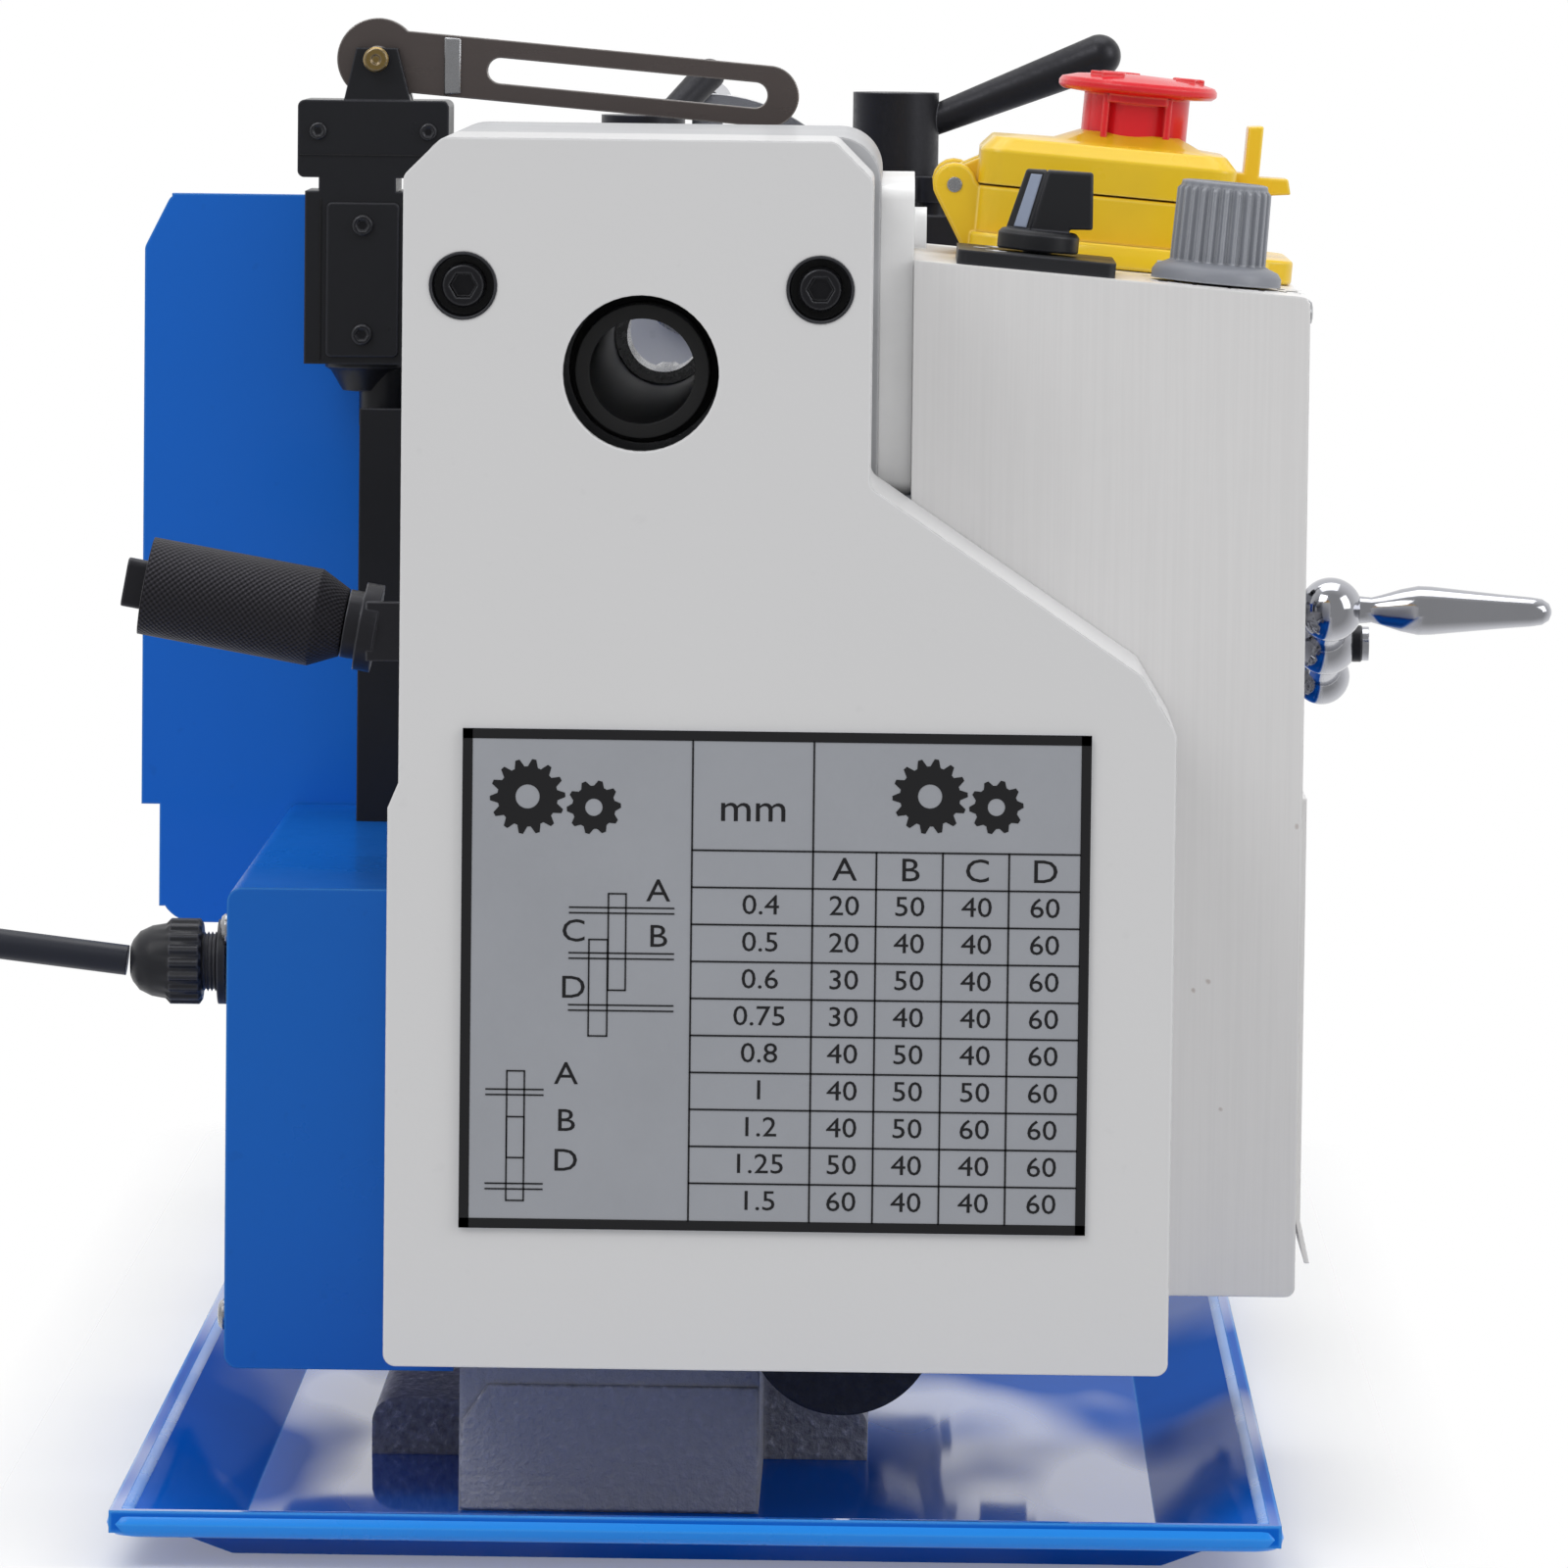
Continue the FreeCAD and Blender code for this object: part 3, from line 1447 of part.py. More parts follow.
def make_cable_gland():
    """Flange, neck, ribbed nut and dome on the rear box, round the lead."""
    x = rear_box_x[0] + gland_along
    places = [rear_box_rear - sheet - gland_flange]
    for length in (sheet + gland_flange, gland_flange, gland_neck, gland_nut, gland_dome):
        places.append(places[-1] + length)
    neck = y_rod(gland_neck_radius - sliding, x, (places[0], places[4]), gland_height)
    flange = y_rod(gland_flange_radius, x, (places[1], places[2]), gland_height)
    nut = y_rod(gland_nut_radius, x, (places[3], places[4]), gland_height)
    dome = cone(
        gland_nut_radius - running, gland_dome_radius,
        point(x, places[4], gland_height), point(x, places[5], gland_height),
    )
    hole = y_rod(cord_radius + sliding, x, (places[0] - overrun, places[4]), gland_height)
    return fuse([neck, flange, nut, dome]).cut(hole)


corner_share = 0.45


def corner_radius(before, here, after):
    """Radius of the arc at a corner of the free lead."""
    back, on = before - here, after - here
    turn = math.pi - back.getAngle(on)
    return corner_share * min(back.Length, on.Length) / math.tan(turn / 2), turn


def tube_wire(route):
    """Straight runs joined by tangent arcs."""
    points = [point(*p) for p in route]
    edges, start = [], points[0]
    for i in range(1, len(points) - 1):
        here = points[i]
        back, on = unit(points[i - 1] - here), unit(points[i + 1] - here)
        radius, turn = corner_radius(points[i - 1], here, points[i + 1])
        reach = radius * math.tan(turn / 2)
        inward = unit(back + on)
        middle = here + inward * (radius / math.cos(turn / 2) - radius)
        edges.append(Part.LineSegment(start, here + back * reach).toShape())
        edges.append(Part.Arc(here + back * reach, middle, here + on * reach).toShape())
        print("cord arc radius", round(radius, 1), "turn", round(math.degrees(turn)))
        start = here + on * reach
    edges.append(Part.LineSegment(start, points[-1]).toShape())
    return Part.Wire(edges)


def sweep(wire, radius, start, along):
    """Round tube along a wire."""
    ring = Part.Wire([Part.Circle(start, along, radius).toShape()])
    return wire.makePipeShell([ring], True, False)


coil_layer = 2 * cord_radius + coil_lift
coil_outer = coil_mid_radius + coil_turns * coil_pitch / 4


def coil_point(turn):
    """Centre line of the coil after so many turns: in, up a layer, out."""
    radius = coil_outer - min(turn, coil_turns - turn) * coil_pitch
    climb = min(1, max(0, 2 * turn - coil_turns + 0.5))
    rise = cord_radius + coil_layer * (1 - math.cos(math.pi * climb)) / 2
    angle = math.radians(coil_start_angle - 360 * turn)
    return point(coil_x + radius * math.cos(angle), coil_y + radius * math.sin(angle), rise)


heading_share = 0.0001


def coil_heading(turn):
    """Way the coil runs after so many turns."""
    return unit(coil_point(turn + heading_share) - coil_point(turn - heading_share))


def arc_between(start, heading, corner, end):
    """Arc from a start to an end whose tangents meet at a corner."""
    middle = (start + end) * 0.5
    half = (corner - start).getAngle(end - corner) / 2
    lift = (end - start).Length / 2 * math.tan(half / 2)
    if lift < tolerance / 100:
        return Part.LineSegment(start, end).toShape()
    return Part.Arc(start, middle + unit(corner - middle) * lift, end).toShape()


def coil_edges():
    """Two tangent arcs for each quarter turn of the coil."""
    count = round(coil_turns * 4)
    edges = []
    for i in range(count):
        turn, after = coil_turns * i / count, coil_turns * (i + 1) / count
        p0, p1 = coil_point(turn), coil_point(after)
        t0, t1 = coil_heading(turn), coil_heading(after)
        chord, both = p1 - p0, t0 + t1
        square = 2 * (1 - t0.dot(t1))
        pull = chord.dot(both)
        reach = (-pull + math.sqrt(pull ** 2 + square * chord.dot(chord))) / square
        q0, q1 = p0 + t0 * reach, p1 - t1 * reach
        joint = (q0 + q1) * 0.5
        edges.append(arc_between(p0, t0, q0, joint))
        edges.append(arc_between(joint, t1, q1, p1))
    return edges


def make_cord_coil():
    """Two-layer coil of the stored length, one unbroken tube."""
    start, end = coil_point(0), coil_point(coil_turns)
    lead_in = start - coil_heading(0) * 2 * cord_radius
    lead_out = end + coil_heading(coil_turns) * plug_tail
    edges = [Part.LineSegment(lead_in, start).toShape()] + coil_edges()
    edges.append(Part.LineSegment(end, lead_out).toShape())
    wire = Part.Wire(edges)
    tube = sweep(wire, cord_radius, lead_in, coil_heading(0))
    share = tube.Volume / (math.pi * cord_radius ** 2 * wire.Length)
    print("coil length", round(wire.Length), "volume share", round(share, 4))
    print("coil least gap", round(least_gap(), 2))
    return tube


def least_gap():
    """Least clear distance of the coil's tube to itself, on points."""
    count = round(coil_turns * 36)
    points = [coil_point(coil_turns * i / count) for i in range(count + 1)]
    gaps = []
    for i in range(len(points)):
        for j in range(i + 12, len(points)):
            gaps.append((points[i] - points[j]).Length)
    return min(gaps) - 2 * cord_radius


def make_power_cord():
    lead_in = coil_point(0) - coil_heading(0) * 2 * cord_radius
    route = cord_route + [tuple(lead_in - coil_heading(0) * cord_last_run), tuple(lead_in)]
    wire = tube_wire(route)
    tube = sweep(wire, cord_radius, point(*route[0]), point(*route[1]) - point(*route[0]))
    share = tube.Volume / (math.pi * cord_radius ** 2 * wire.Length)
    print("free lead length", round(wire.Length), "volume share", round(share, 4))
    return tube


def make_mains_plug():
    """Moulded plug that lies beside the coil, with its strain relief."""
    heading = coil_heading(coil_turns)
    end = coil_point(coil_turns) + heading * plug_tail
    half_height = end.z
    relief = cone(cord_radius + sheet, plug_relief_radius, point(0, 0, 0), point(plug_relief, 0, 0))
    low = rectangle(span(plug_relief, plug_length), centred(0, plug_width), plug_edge)
    body = prism_z(low, centred(0, 2 * half_height))
    pins = []
    for y in (-plug_pin_half, plug_pin_half):
        pin_x = span(plug_relief + plug_length, plug_pin_length)
        pins.append(box(pin_x, centred(y, plug_pin_thick), centred(0, plug_pin_height)))
    plug = fuse([relief, body] + pins)
    angle = math.degrees(math.atan2(heading.y, heading.x))
    plug.rotate(point(0, 0, 0), point(0, 0, 1), angle)
    plug.translate(end)
    return plug


def make_splash_guard():
    """Folded sheet behind the work: wing, back panel, far return."""
    wing_x = span(rear_box_x[1] + guard_gap, sheet)
    top = axis_z + wing_top
    yz = [
        (skirt_front, skirt_bottom), (skirt_rear, skirt_bottom), (skirt_rear, wing_bottom),
        (wing_rear, wing_bottom), (wing_rear, top - 2 * wing_chamfer), (wing_rear - wing_chamfer, top),
        (wing_front, top), (wing_front, wing_bottom), (skirt_front, wing_bottom),
    ]
    wing = prism_x(outline(yz, [0, skirt_round, 0, 0, wing_chamfer / 2, wing_chamfer / 2, 0, 0, 0]), wing_x)
    hem = box((wing_x[0], wing_x[1] + guard_hem), (wing_front, wing_rear - wing_chamfer), (top - sheet, top))
    panel_x = (wing_x[0], bed_end - guard_end_gap)
    panel_z = (guard_bottom, axis_z + guard_top)
    panel = box(panel_x, (skirt_rear - sheet, skirt_rear), (panel_z[0], wing_bottom))
    upper = box(panel_x, (wing_rear - sheet, wing_rear), (wing_bottom - sheet, panel_z[1]))
    step = box(panel_x, (skirt_rear - sheet, wing_rear), (wing_bottom - sheet, wing_bottom))
    edge = box(panel_x, (wing_rear - guard_hem, wing_rear), (panel_z[1] - sheet, panel_z[1]))
    far_x = (panel_x[1] - sheet, panel_x[1])
    far = box(far_x, (wing_rear - guard_end_depth, wing_rear), (wing_bottom - sheet, panel_z[1]))
    sheet_body = fuse([wing, hem, panel, upper, step, edge, far])
    holes, spacers = [], []
    for share in spacer_shares:
        x = panel_x[0] + (panel_x[1] - panel_x[0]) * share
        hole_y = grown((skirt_rear - sheet, skirt_rear), overrun)
        holes.append(y_rod(cap_screw_radius + running, x, hole_y, spacer_height))
        tube = y_rod(spacer_radius, x, (wall_outer, skirt_rear - sheet), spacer_height)
        head = cap_screw(point(x, skirt_rear + cap_head_height, spacer_height), point(0, -1, 0), sheet)
        spacers.append(fuse([tube, head]))
    for hole in holes:
        sheet_body = sheet_body.cut(hole)
    return group([sheet_body] + spacers)


bracket_x = span(rear_box_x[1] - bracket_inset, bracket_depth)
bracket_y = (bracket_rear - bracket_width, bracket_rear)
switch_x = (bracket_x[1] - bracket_sheet - switch_depth, bracket_x[1] - bracket_sheet)
arm_x = centred(switch_x[0] + arm_inset, arm_thick)


def make_switch_bracket():
    """Folded channel on the rear box that carries the guard switch."""
    z = rear_box_top
    foot = box(bracket_x, bracket_y, span(z, bracket_sheet))
    front = box(span(bracket_x[0], bracket_sheet), bracket_y, span(z, bracket_front_height))
    back = box((switch_x[1], bracket_x[1]), bracket_y, span(z, bracket_back_height))
    side_y = span(bracket_y[0], bracket_sheet)
    side = box(bracket_x, side_y, span(z, bracket_front_height))
    return fuse([foot, front, back, side])


def make_guard_switch():
    """Limit switch: narrow body, overhanging head, clevis, gland and cable."""
    body_y = (switch_body_rear - switch_body_width, switch_body_rear)
    head_y = (switch_head_rear - switch_head_width, switch_head_rear)
    neck_z = axis_z + switch_head_low
    top = axis_z + switch_head_top
    body = box(switch_x, body_y, (switch_low, neck_z - switch_notch))
    neck = box(switch_x, grown(body_y, -switch_notch), (neck_z - switch_notch, neck_z))
    head = prism_x(rectangle(head_y, (neck_z, top), switch_notch / 2), switch_x)
    parts = [body, neck, head]
    inner_x = grown(arm_x, seat)
    low_y = centred(clevis_rear - clevis_low_width / 2, clevis_low_width)
    top_y = centred(arm_pivot_rear, clevis_top_width)
    trapeze = [
        (low_y[0], top - switch_notch / 2), (low_y[1], top - switch_notch / 2),
        (top_y[1], top + clevis_height), (top_y[0], top + clevis_height),
    ]
    for cheek in ((inner_x[0] - clevis_cheek, inner_x[0]), (inner_x[1], inner_x[1] + clevis_cheek)):
        parts.append(prism_x(outline(trapeze, 0), cheek))
    cable_at = ((switch_x[0] + switch_x[1]) / 2, body_y[0] + switch_gland_inset)
    gland_low = switch_low - switch_gland_height
    parts.append(z_rod(switch_gland_radius, *cable_at, (gland_low, switch_low)))
    parts.append(z_rod(switch_cable_radius, *cable_at, (rear_box_top + bracket_sheet, gland_low)))
    switch = fuse(parts)
    switch = switch.cut(x_rod(arm_disc_radius + seat, inner_x, *arm_pivot))
    switch = switch.cut(x_rod(arm_pin_radius + running, grown(switch_x, overrun), *arm_pivot))
    return group([make_switch_bracket(), switch])


arm_pivot = (arm_pivot_rear, axis_z + arm_pivot_rise)
arm_bend = (arm_bend_rear, axis_z + arm_bend_rise)
arm_tip = (-arm_tip_front, axis_z + arm_tip_rise)


def make_guard_arm():
    """Slotted arm of the chuck guard, with its disc and pivot pin."""
    near = prism_x(link_outline(arm_pivot, arm_half, arm_bend, arm_half), arm_x)
    far = prism_x(link_outline(arm_bend, arm_half, arm_tip, arm_half), arm_x)
    disc = x_rod(arm_disc_radius, arm_x, *arm_pivot)
    pin = x_rod(arm_pin_radius, grown(arm_x, seat + clevis_cheek + arm_pin_over), *arm_pivot)
    gap = math.dist(arm_bend, arm_tip)
    slope = ((arm_tip[0] - arm_bend[0]) / gap, (arm_tip[1] - arm_bend[1]) / gap)
    start = (arm_bend[0] + slope[0] * arm_slot_start, arm_bend[1] + slope[1] * arm_slot_start)
    reach = gap - arm_slot_end_gap
    end = (arm_bend[0] + slope[0] * reach, arm_bend[1] + slope[1] * reach)
    slot = prism_x(link_outline(start, arm_slot_half, end, arm_slot_half), grown(arm_x, overrun))
    return fuse([near, far, disc, pin]).cut(slot)


scroll_end = chuck_end - jaw_slot_depth - seat
scroll_x = (scroll_end - scroll_thick, scroll_end)


def turned_about_spindle(shape, angle):
    """A piece drawn straight up from the spindle axis, turned to its angle."""
    shape.rotate(point(0, 0, axis_z), point(1, 0, 0), angle - jaw_angles[0])
    return shape


def make_chuck_body():
    """Three-jaw chuck body with jaw slots, scroll cavity and key holes."""
    edge = chuck_edge
    section = [
        (chuck_x, 0), (chuck_end, 0), (chuck_end, chuck_radius - edge),
        (chuck_end - edge, chuck_radius), (chuck_x + edge, chuck_radius), (chuck_x, chuck_radius - edge),
    ]
    profile = Part.Face(outline(section, 0))
    body = profile.revolve(point(0, 0, 0), point(1, 0, 0), 360)
    body.translate(point(0, 0, axis_z))
    body = body.cut(x_rod(chuck_bore_radius, (chuck_x - overrun, chuck_end + overrun), 0, axis_z))
    body = body.cut(x_pipe(scroll_outer + seat, scroll_inner - seat, grown(scroll_x, seat), 0, axis_z))
    for angle in jaw_angles:
        slot_x = (chuck_end - jaw_slot_depth, chuck_end + overrun)
        z = (axis_z + chuck_bore_radius / 2, axis_z + chuck_radius + overrun)
        slot = box(slot_x, centred(0, jaw_width + 2 * sliding), z)
        body = body.cut(turned_about_spindle(slot, angle))
        hole_z = (axis_z + chuck_radius - key_hole_depth, axis_z + chuck_radius + overrun)
        hole = z_rod(key_hole_radius, sum(scroll_x) / 2, 0, hole_z)
        body = body.cut(turned_about_spindle(hole, angle + 60))
    return body


def make_chuck_scroll():
    return x_pipe(scroll_outer, scroll_inner, scroll_x, 0, axis_z)


def make_jaw(angle):
    """Stepped jaw with a tapered tip, drawn upright and turned to place."""
    low = axis_z + jaw_rest_radius
    x = (chuck_end - jaw_slot_depth + seat, chuck_end + jaw_height)
    half = jaw_width / 2
    flat = jaw_tip_flat / 2
    slope = (half - flat) / math.sqrt(3)
    yz = [
        (-flat, low), (flat, low), (half, low + slope),
        (half, low + jaw_length), (-half, low + jaw_length), (-half, low + slope),
    ]
    jaw = prism_x(outline(yz, 0), x)
    for step in (1, 2):
        cut_x = (x[1] - jaw_step * step, x[1] + overrun)
        cut_z = (low + jaw_land + jaw_step * (step - 1), low + jaw_length + overrun)
        jaw = jaw.cut(box(cut_x, grown((-half, half), overrun), cut_z))
    return turned_about_spindle(jaw, angle)


def dovetail(middle, levels, full, play):
    """Flat outline that widens upward, between two levels.

    full holds the half width at the top, the slope, the top and the height.
    """
    half, slope, top, height = full
    low, high = levels
    low_half = half + play - slope * (top - low) / height
    high_half = half + play - slope * (top - high) / height
    corners = [
        (middle - low_half, low), (middle + low_half, low),
        (middle + high_half, high), (middle - high_half, high),
    ]
    return outline(corners, 0)


cross_tail = (dovetail_half, dovetail_slope, dovetail_top, dovetail_height)


def make_saddle():
    """H-shaped saddle with its keepers, cross way and screw bearing."""
    z = (way_z + sliding, saddle_top)
    x = (saddle_start, saddle_end)
    front = box(x, (-saddle_front, -way_half + saddle_wing), z)
    rear = box(x, (way_half - saddle_wing, saddle_rear), z)
    bridge_x = centred(carriage_x, 2 * saddle_bridge_half)
    bridge = box(bridge_x, (-saddle_front, saddle_rear), z)
    keeper_low = way_z - rail_depth - sliding - keeper_drop
    keeper = box(x, (way_half + sliding, saddle_rear), (keeper_low, z[1]))
    lip = box(x, (wall_outer + seat, way_half + 2 * sliding), (keeper_low, keeper_low + keeper_drop))
    way_yz = dovetail(carriage_x, (z[1] - sheet, dovetail_top), cross_tail, 0)
    way = prism_y(way_yz, (-dovetail_front, dovetail_rear))
    bracket_high = dovetail_top - 2 * seat
    bracket_z = (bracket_high - cross_bracket_height, bracket_high)
    bracket_y = (-cross_bracket_front, -dovetail_front)
    bearing = box(centred(carriage_x, cross_bracket_width), bracket_y, bracket_z)
    parts = [front, rear, bridge, keeper, lip, way, bearing]
    saddle = fuse(parts)
    saddle = saddle.cut(vee(grown(x, overrun), sliding))
    groove = box(
        centred(carriage_x, 2 * screw_groove), (-saddle_front, dovetail_rear + overrun),
        (cross_screw_height - screw_groove, dovetail_top + overrun),
    )
    saddle = saddle.cut(groove)
    bore_y = grown((-cross_bracket_front, -saddle_front), overrun)
    return saddle.cut(y_rod(cross_screw_radius + running, carriage_x, bore_y, cross_screw_height))


def make_apron():
    x = centred(carriage_x, apron_length)
    z = (apron_bottom, way_z + sliding)
    plate = prism_y(rectangle(x, z, [apron_round, apron_round, 0, 0]), apron_y)
    for at in (pinion_at, hand_at, half_lever_at):
        plate = plate.cut(y_rod(apron_shaft_radius + running, at[0], grown(apron_y, overrun), at[1]))
    return plate


def y_gear(teeth, centre, phase, y, hole):
    blank = prism_y(gear_outline(teeth, centre, phase), y)
    if hole:
        blank = blank.cut(y_rod(hole, centre[0], grown(y, overrun), centre[1]))
    return blank


def make_rack_pinion():
    """Pinion on the rack, its shaft and the large apron gear."""
    pinion = y_gear(pinion_teeth, pinion_at, 90, (rack_y[0], rack_y[1] - seat), 0)
    big = y_gear(big_gear_teeth, pinion_at, big_gear_phase, apron_gear_y, 0)
    shaft = y_rod(apron_shaft_radius, pinion_at[0], (apron_y[0], rack_y[0]), pinion_at[1])
    return fuse([pinion, big, shaft])


big_gear_phase = direction(pinion_at, hand_at)
hand_gear_phase = meshed_phase(big_gear_phase, big_gear_teeth, hand_gear_teeth, big_gear_phase)


def turned_handle(start, along):
    """Handle with a waist and a belly, from a point along a direction."""
    parts = []
    for (near, near_radius), (far, far_radius) in zip(handle_shares, handle_shares[1:]):
        low, high = start + along * handle_length * near, start + along * handle_length * far
        parts.append(cone(handle_radius * near_radius, handle_radius * far_radius, low, high))
    return fuse(parts)


def make_apron_handwheel():
    """Carriage handwheel, its shaft and small gear behind the apron."""
    wheel_high = apron_y[0] - handwheel_gap
    wheel_y = (wheel_high - handwheel_thick, wheel_high)
    rim = y_rod(handwheel_radius, hand_at[0], wheel_y, hand_at[1])
    rim = rim.cut(y_rod(handwheel_radius - handwheel_rim, hand_at[0], grown(wheel_y, overrun), hand_at[1]))
    hub = y_rod(handwheel_hub_radius, hand_at[0], (wheel_y[0], apron_y[0] - seat), hand_at[1])
    parts = [rim, hub]
    for angle in spoke_angles:
        end = on_circle(hand_at, handwheel_radius - handwheel_rim / 2, angle)
        outline = link_outline(hand_at, spoke_half, end, spoke_half)
        parts.append(prism_y(outline, grown(wheel_y, -spoke_inset)))
    shaft = y_rod(apron_shaft_radius, hand_at[0], (wheel_y[0], apron_gear_y[1]), hand_at[1])
    gear = y_gear(hand_gear_teeth, hand_at, hand_gear_phase, apron_gear_y, 0)
    grip_at = on_circle(hand_at, handwheel_radius - handwheel_rim / 2, 90)
    grip = turned_handle(point(grip_at[0], wheel_y[0], grip_at[1]), point(0, -1, 0))
    return fuse(parts + [shaft, gear, grip])


half_nut_x = span(carriage_x + half_nut_start, half_nut_length)
half_nut_y = (apron_y[1] + seat, apron_y[1] + seat + half_nut_depth)
half_lever_at = (carriage_x + half_nut_lever_along, leadscrew_height)


def make_half_nut(side):
    """Half of the nut round the leadscrew, drawn open. side is 1 above."""
    near = half_nut_open + seat / 2
    far = half_nut_open + half_nut_height
    z = sorted((screw_at[1] + side * near, screw_at[1] + side * far))
    half = box(half_nut_x, half_nut_y, z)
    hole_at = (screw_at[0], screw_at[1] + side * half_nut_open)
    hole = x_rod(leadscrew_radius + half_nut_bore_gap, grown(half_nut_x, overrun), *hole_at)
    return half.cut(hole)


def make_half_nut_lever():
    y = (apron_y[0] - handwheel_gap - seat, apron_y[0] - seat)
    hub = y_rod(half_nut_hub_radius, half_lever_at[0], y, half_lever_at[1])
    shaft = y_rod(apron_shaft_radius, half_lever_at[0], (y[0], apron_y[1]), half_lever_at[1])
    middle = (y[0] + y[1]) / 2
    start = point(half_lever_at[0], middle, half_lever_at[1])
    end = point(half_lever_at[0] + half_nut_lever_length, middle, half_lever_at[1])
    root_share, tip_share = half_nut_lever_shares
    arm = cone(half_nut_grip_radius * root_share, half_nut_grip_radius * tip_share, start, end)
    return fuse([hub, shaft, arm, ball(half_nut_grip_radius, end)])


cross_y = (-cross_front, cross_rear)


def make_cross_slide():
    """Table on the saddle's dovetail, with its nut and the swivel seat."""
    x = centred(carriage_x, cross_width)
    table = prism_y(rectangle(x, (cross_low, cross_top), [0, 0, cross_edge, cross_edge]), cross_y)
    female = dovetail(carriage_x, (cross_low - seat, dovetail_top + sliding), cross_tail, sliding)
    table = table.cut(prism_y(female, grown(cross_y, overrun)))
    nut_x = centred(carriage_x, 2 * (screw_groove - seat))
    nut_z = (cross_screw_height - screw_groove + seat, dovetail_top + seat)
    nut = box(nut_x, centred(0, cross_bracket_width), nut_z)
    table = fuse([table, nut])
    bore_y = grown(cross_y, overrun)
    table = table.cut(y_rod(cross_screw_radius + running, carriage_x, bore_y, cross_screw_height))
    seat_z = (cross_top - swivel_spigot_depth, cross_top + overrun)
    return table.cut(z_rod(swivel_spigot_radius + running, compound_x, -compound_front, seat_z))


def crank_place(along, angle):
    """Point on the tilted arm of the cross crank."""
    x, z = on_circle((carriage_x, cross_screw_height), along, angle)
    return point(x, -cross_hub_front, z)


crank_up = 180.0 - crank_tilt


def make_cross_crank():
    """Cross screw, graduated dial and the ball crank."""
    dial_y = (-cross_bracket_front - dial_gap - dial_length, -cross_bracket_front - dial_gap)
    screw_y = (-cross_hub_front, cross_rear + screw_groove)
    screw = y_rod(cross_screw_radius, carriage_x, screw_y, cross_screw_height)
    dial = y_rod(dial_radius, carriage_x, dial_y, cross_screw_height)
    centre = crank_place(0, 0)
    near, far = crank_place(ball_step, crank_up), crank_place(-ball_step, crank_up)
    parts = [screw, dial, ball(ball_radius, centre), ball(ball_radius, near)]
    parts.append(ball(ball_radius * crank_end_share, far))
    parts += [rod(ball_neck, centre, near), rod(ball_neck, centre, far)]
    cap = rod(crank_cap_radius, centre, centre + point(0, -ball_radius - crank_cap_height, 0))
    crank = fuse(parts + [cap])
    hole = rod(handle_pin_radius + running, near, near + point(0, -ball_radius - overrun, 0))
    return crank.cut(hole)


def make_crank_handle():
    """Chromed handle that spins on a pin in the end ball."""
    near = crank_place(ball_step, crank_up)
    start = near + point(0, -ball_radius - seat, 0)
    stations = [
        (0, handle_collar_radius), (handle_collar_share, handle_collar_radius),
        (2 * handle_collar_share, handle_neck_radius), (handle_belly_share, handle_belly_radius),
        (1, handle_tip_radius),
    ]
    parts = [rod(handle_pin_radius, near, start + point(0, -ball_radius, 0))]
    for (a, ra), (b, rb) in zip(stations, stations[1:]):
        p, q = start + point(0, -handle_reach * a, 0), start + point(0, -handle_reach * b, 0)
        if ra == rb:
            parts.append(rod(ra, p, q))
        else:
            parts.append(cone(ra, rb, p, q))
    return fuse(parts)


base_x = centred(compound_x, compound_base_length)
top_x = centred(compound_x, compound_top_length)
compound_y = centred(-compound_front, compound_width)
compound_screw_z = compound_way - compound_dovetail_height / 2
base_top = compound_way - compound_dovetail_height
compound_bearing_end = base_x[1] + compound_bearing_length


compound_tail = (
    compound_dovetail_half, compound_dovetail_height / 2, compound_way, compound_dovetail_height,
)


def make_compound_base():
    """Swivel disc, lower slide with its dovetail, and the screw bearing."""
    disc = z_rod(swivel_radius, compound_x, -compound_front, (compound_low, swivel_top))
    spigot_z = (compound_low - swivel_spigot_depth + seat, compound_low)
    spigot = z_rod(swivel_spigot_radius, compound_x, -compound_front, spigot_z)
    block = box(base_x, compound_y, (swivel_top, base_top))
    way = prism_x(dovetail(-compound_front, (base_top - sheet, compound_way), compound_tail, 0), base_x)
    bearing_x = (base_x[1], compound_bearing_end)
    bearing = box(bearing_x, centred(-compound_front, 2 * compound_bearing_half), (swivel_top, compound_way))
    base = fuse([disc, spigot, block, way, bearing])
    groove_x = (base_x[0] - overrun, base_x[1])
    groove_y = centred(-compound_front, 2 * compound_screw_radius + 2 * seat)
    groove_z = (compound_screw_z - compound_screw_radius - seat, compound_way + overrun)
    base = base.cut(box(groove_x, groove_y, groove_z))
    hole_x = (base_x[1] - overrun, bearing_x[1] + overrun)
    return base.cut(x_rod(compound_screw_radius + running, hole_x, -compound_front, compound_screw_z))


def make_compound_slide():
    """Upper slide that carries the tool post stud."""
    z = (base_top + sliding, compound_top_z)
    slide = box(top_x, compound_y, z)
    female = dovetail(-compound_front, (base_top, compound_way + sliding), compound_tail, sliding)
    slide = slide.cut(prism_x(female, grown(top_x, overrun)))
    stud_z = (compound_top_z, post_top + post_hub_height * post_stud_share)
    stud = z_rod(post_stud_radius, post_x, -compound_front, stud_z)
    return fuse([slide, stud])


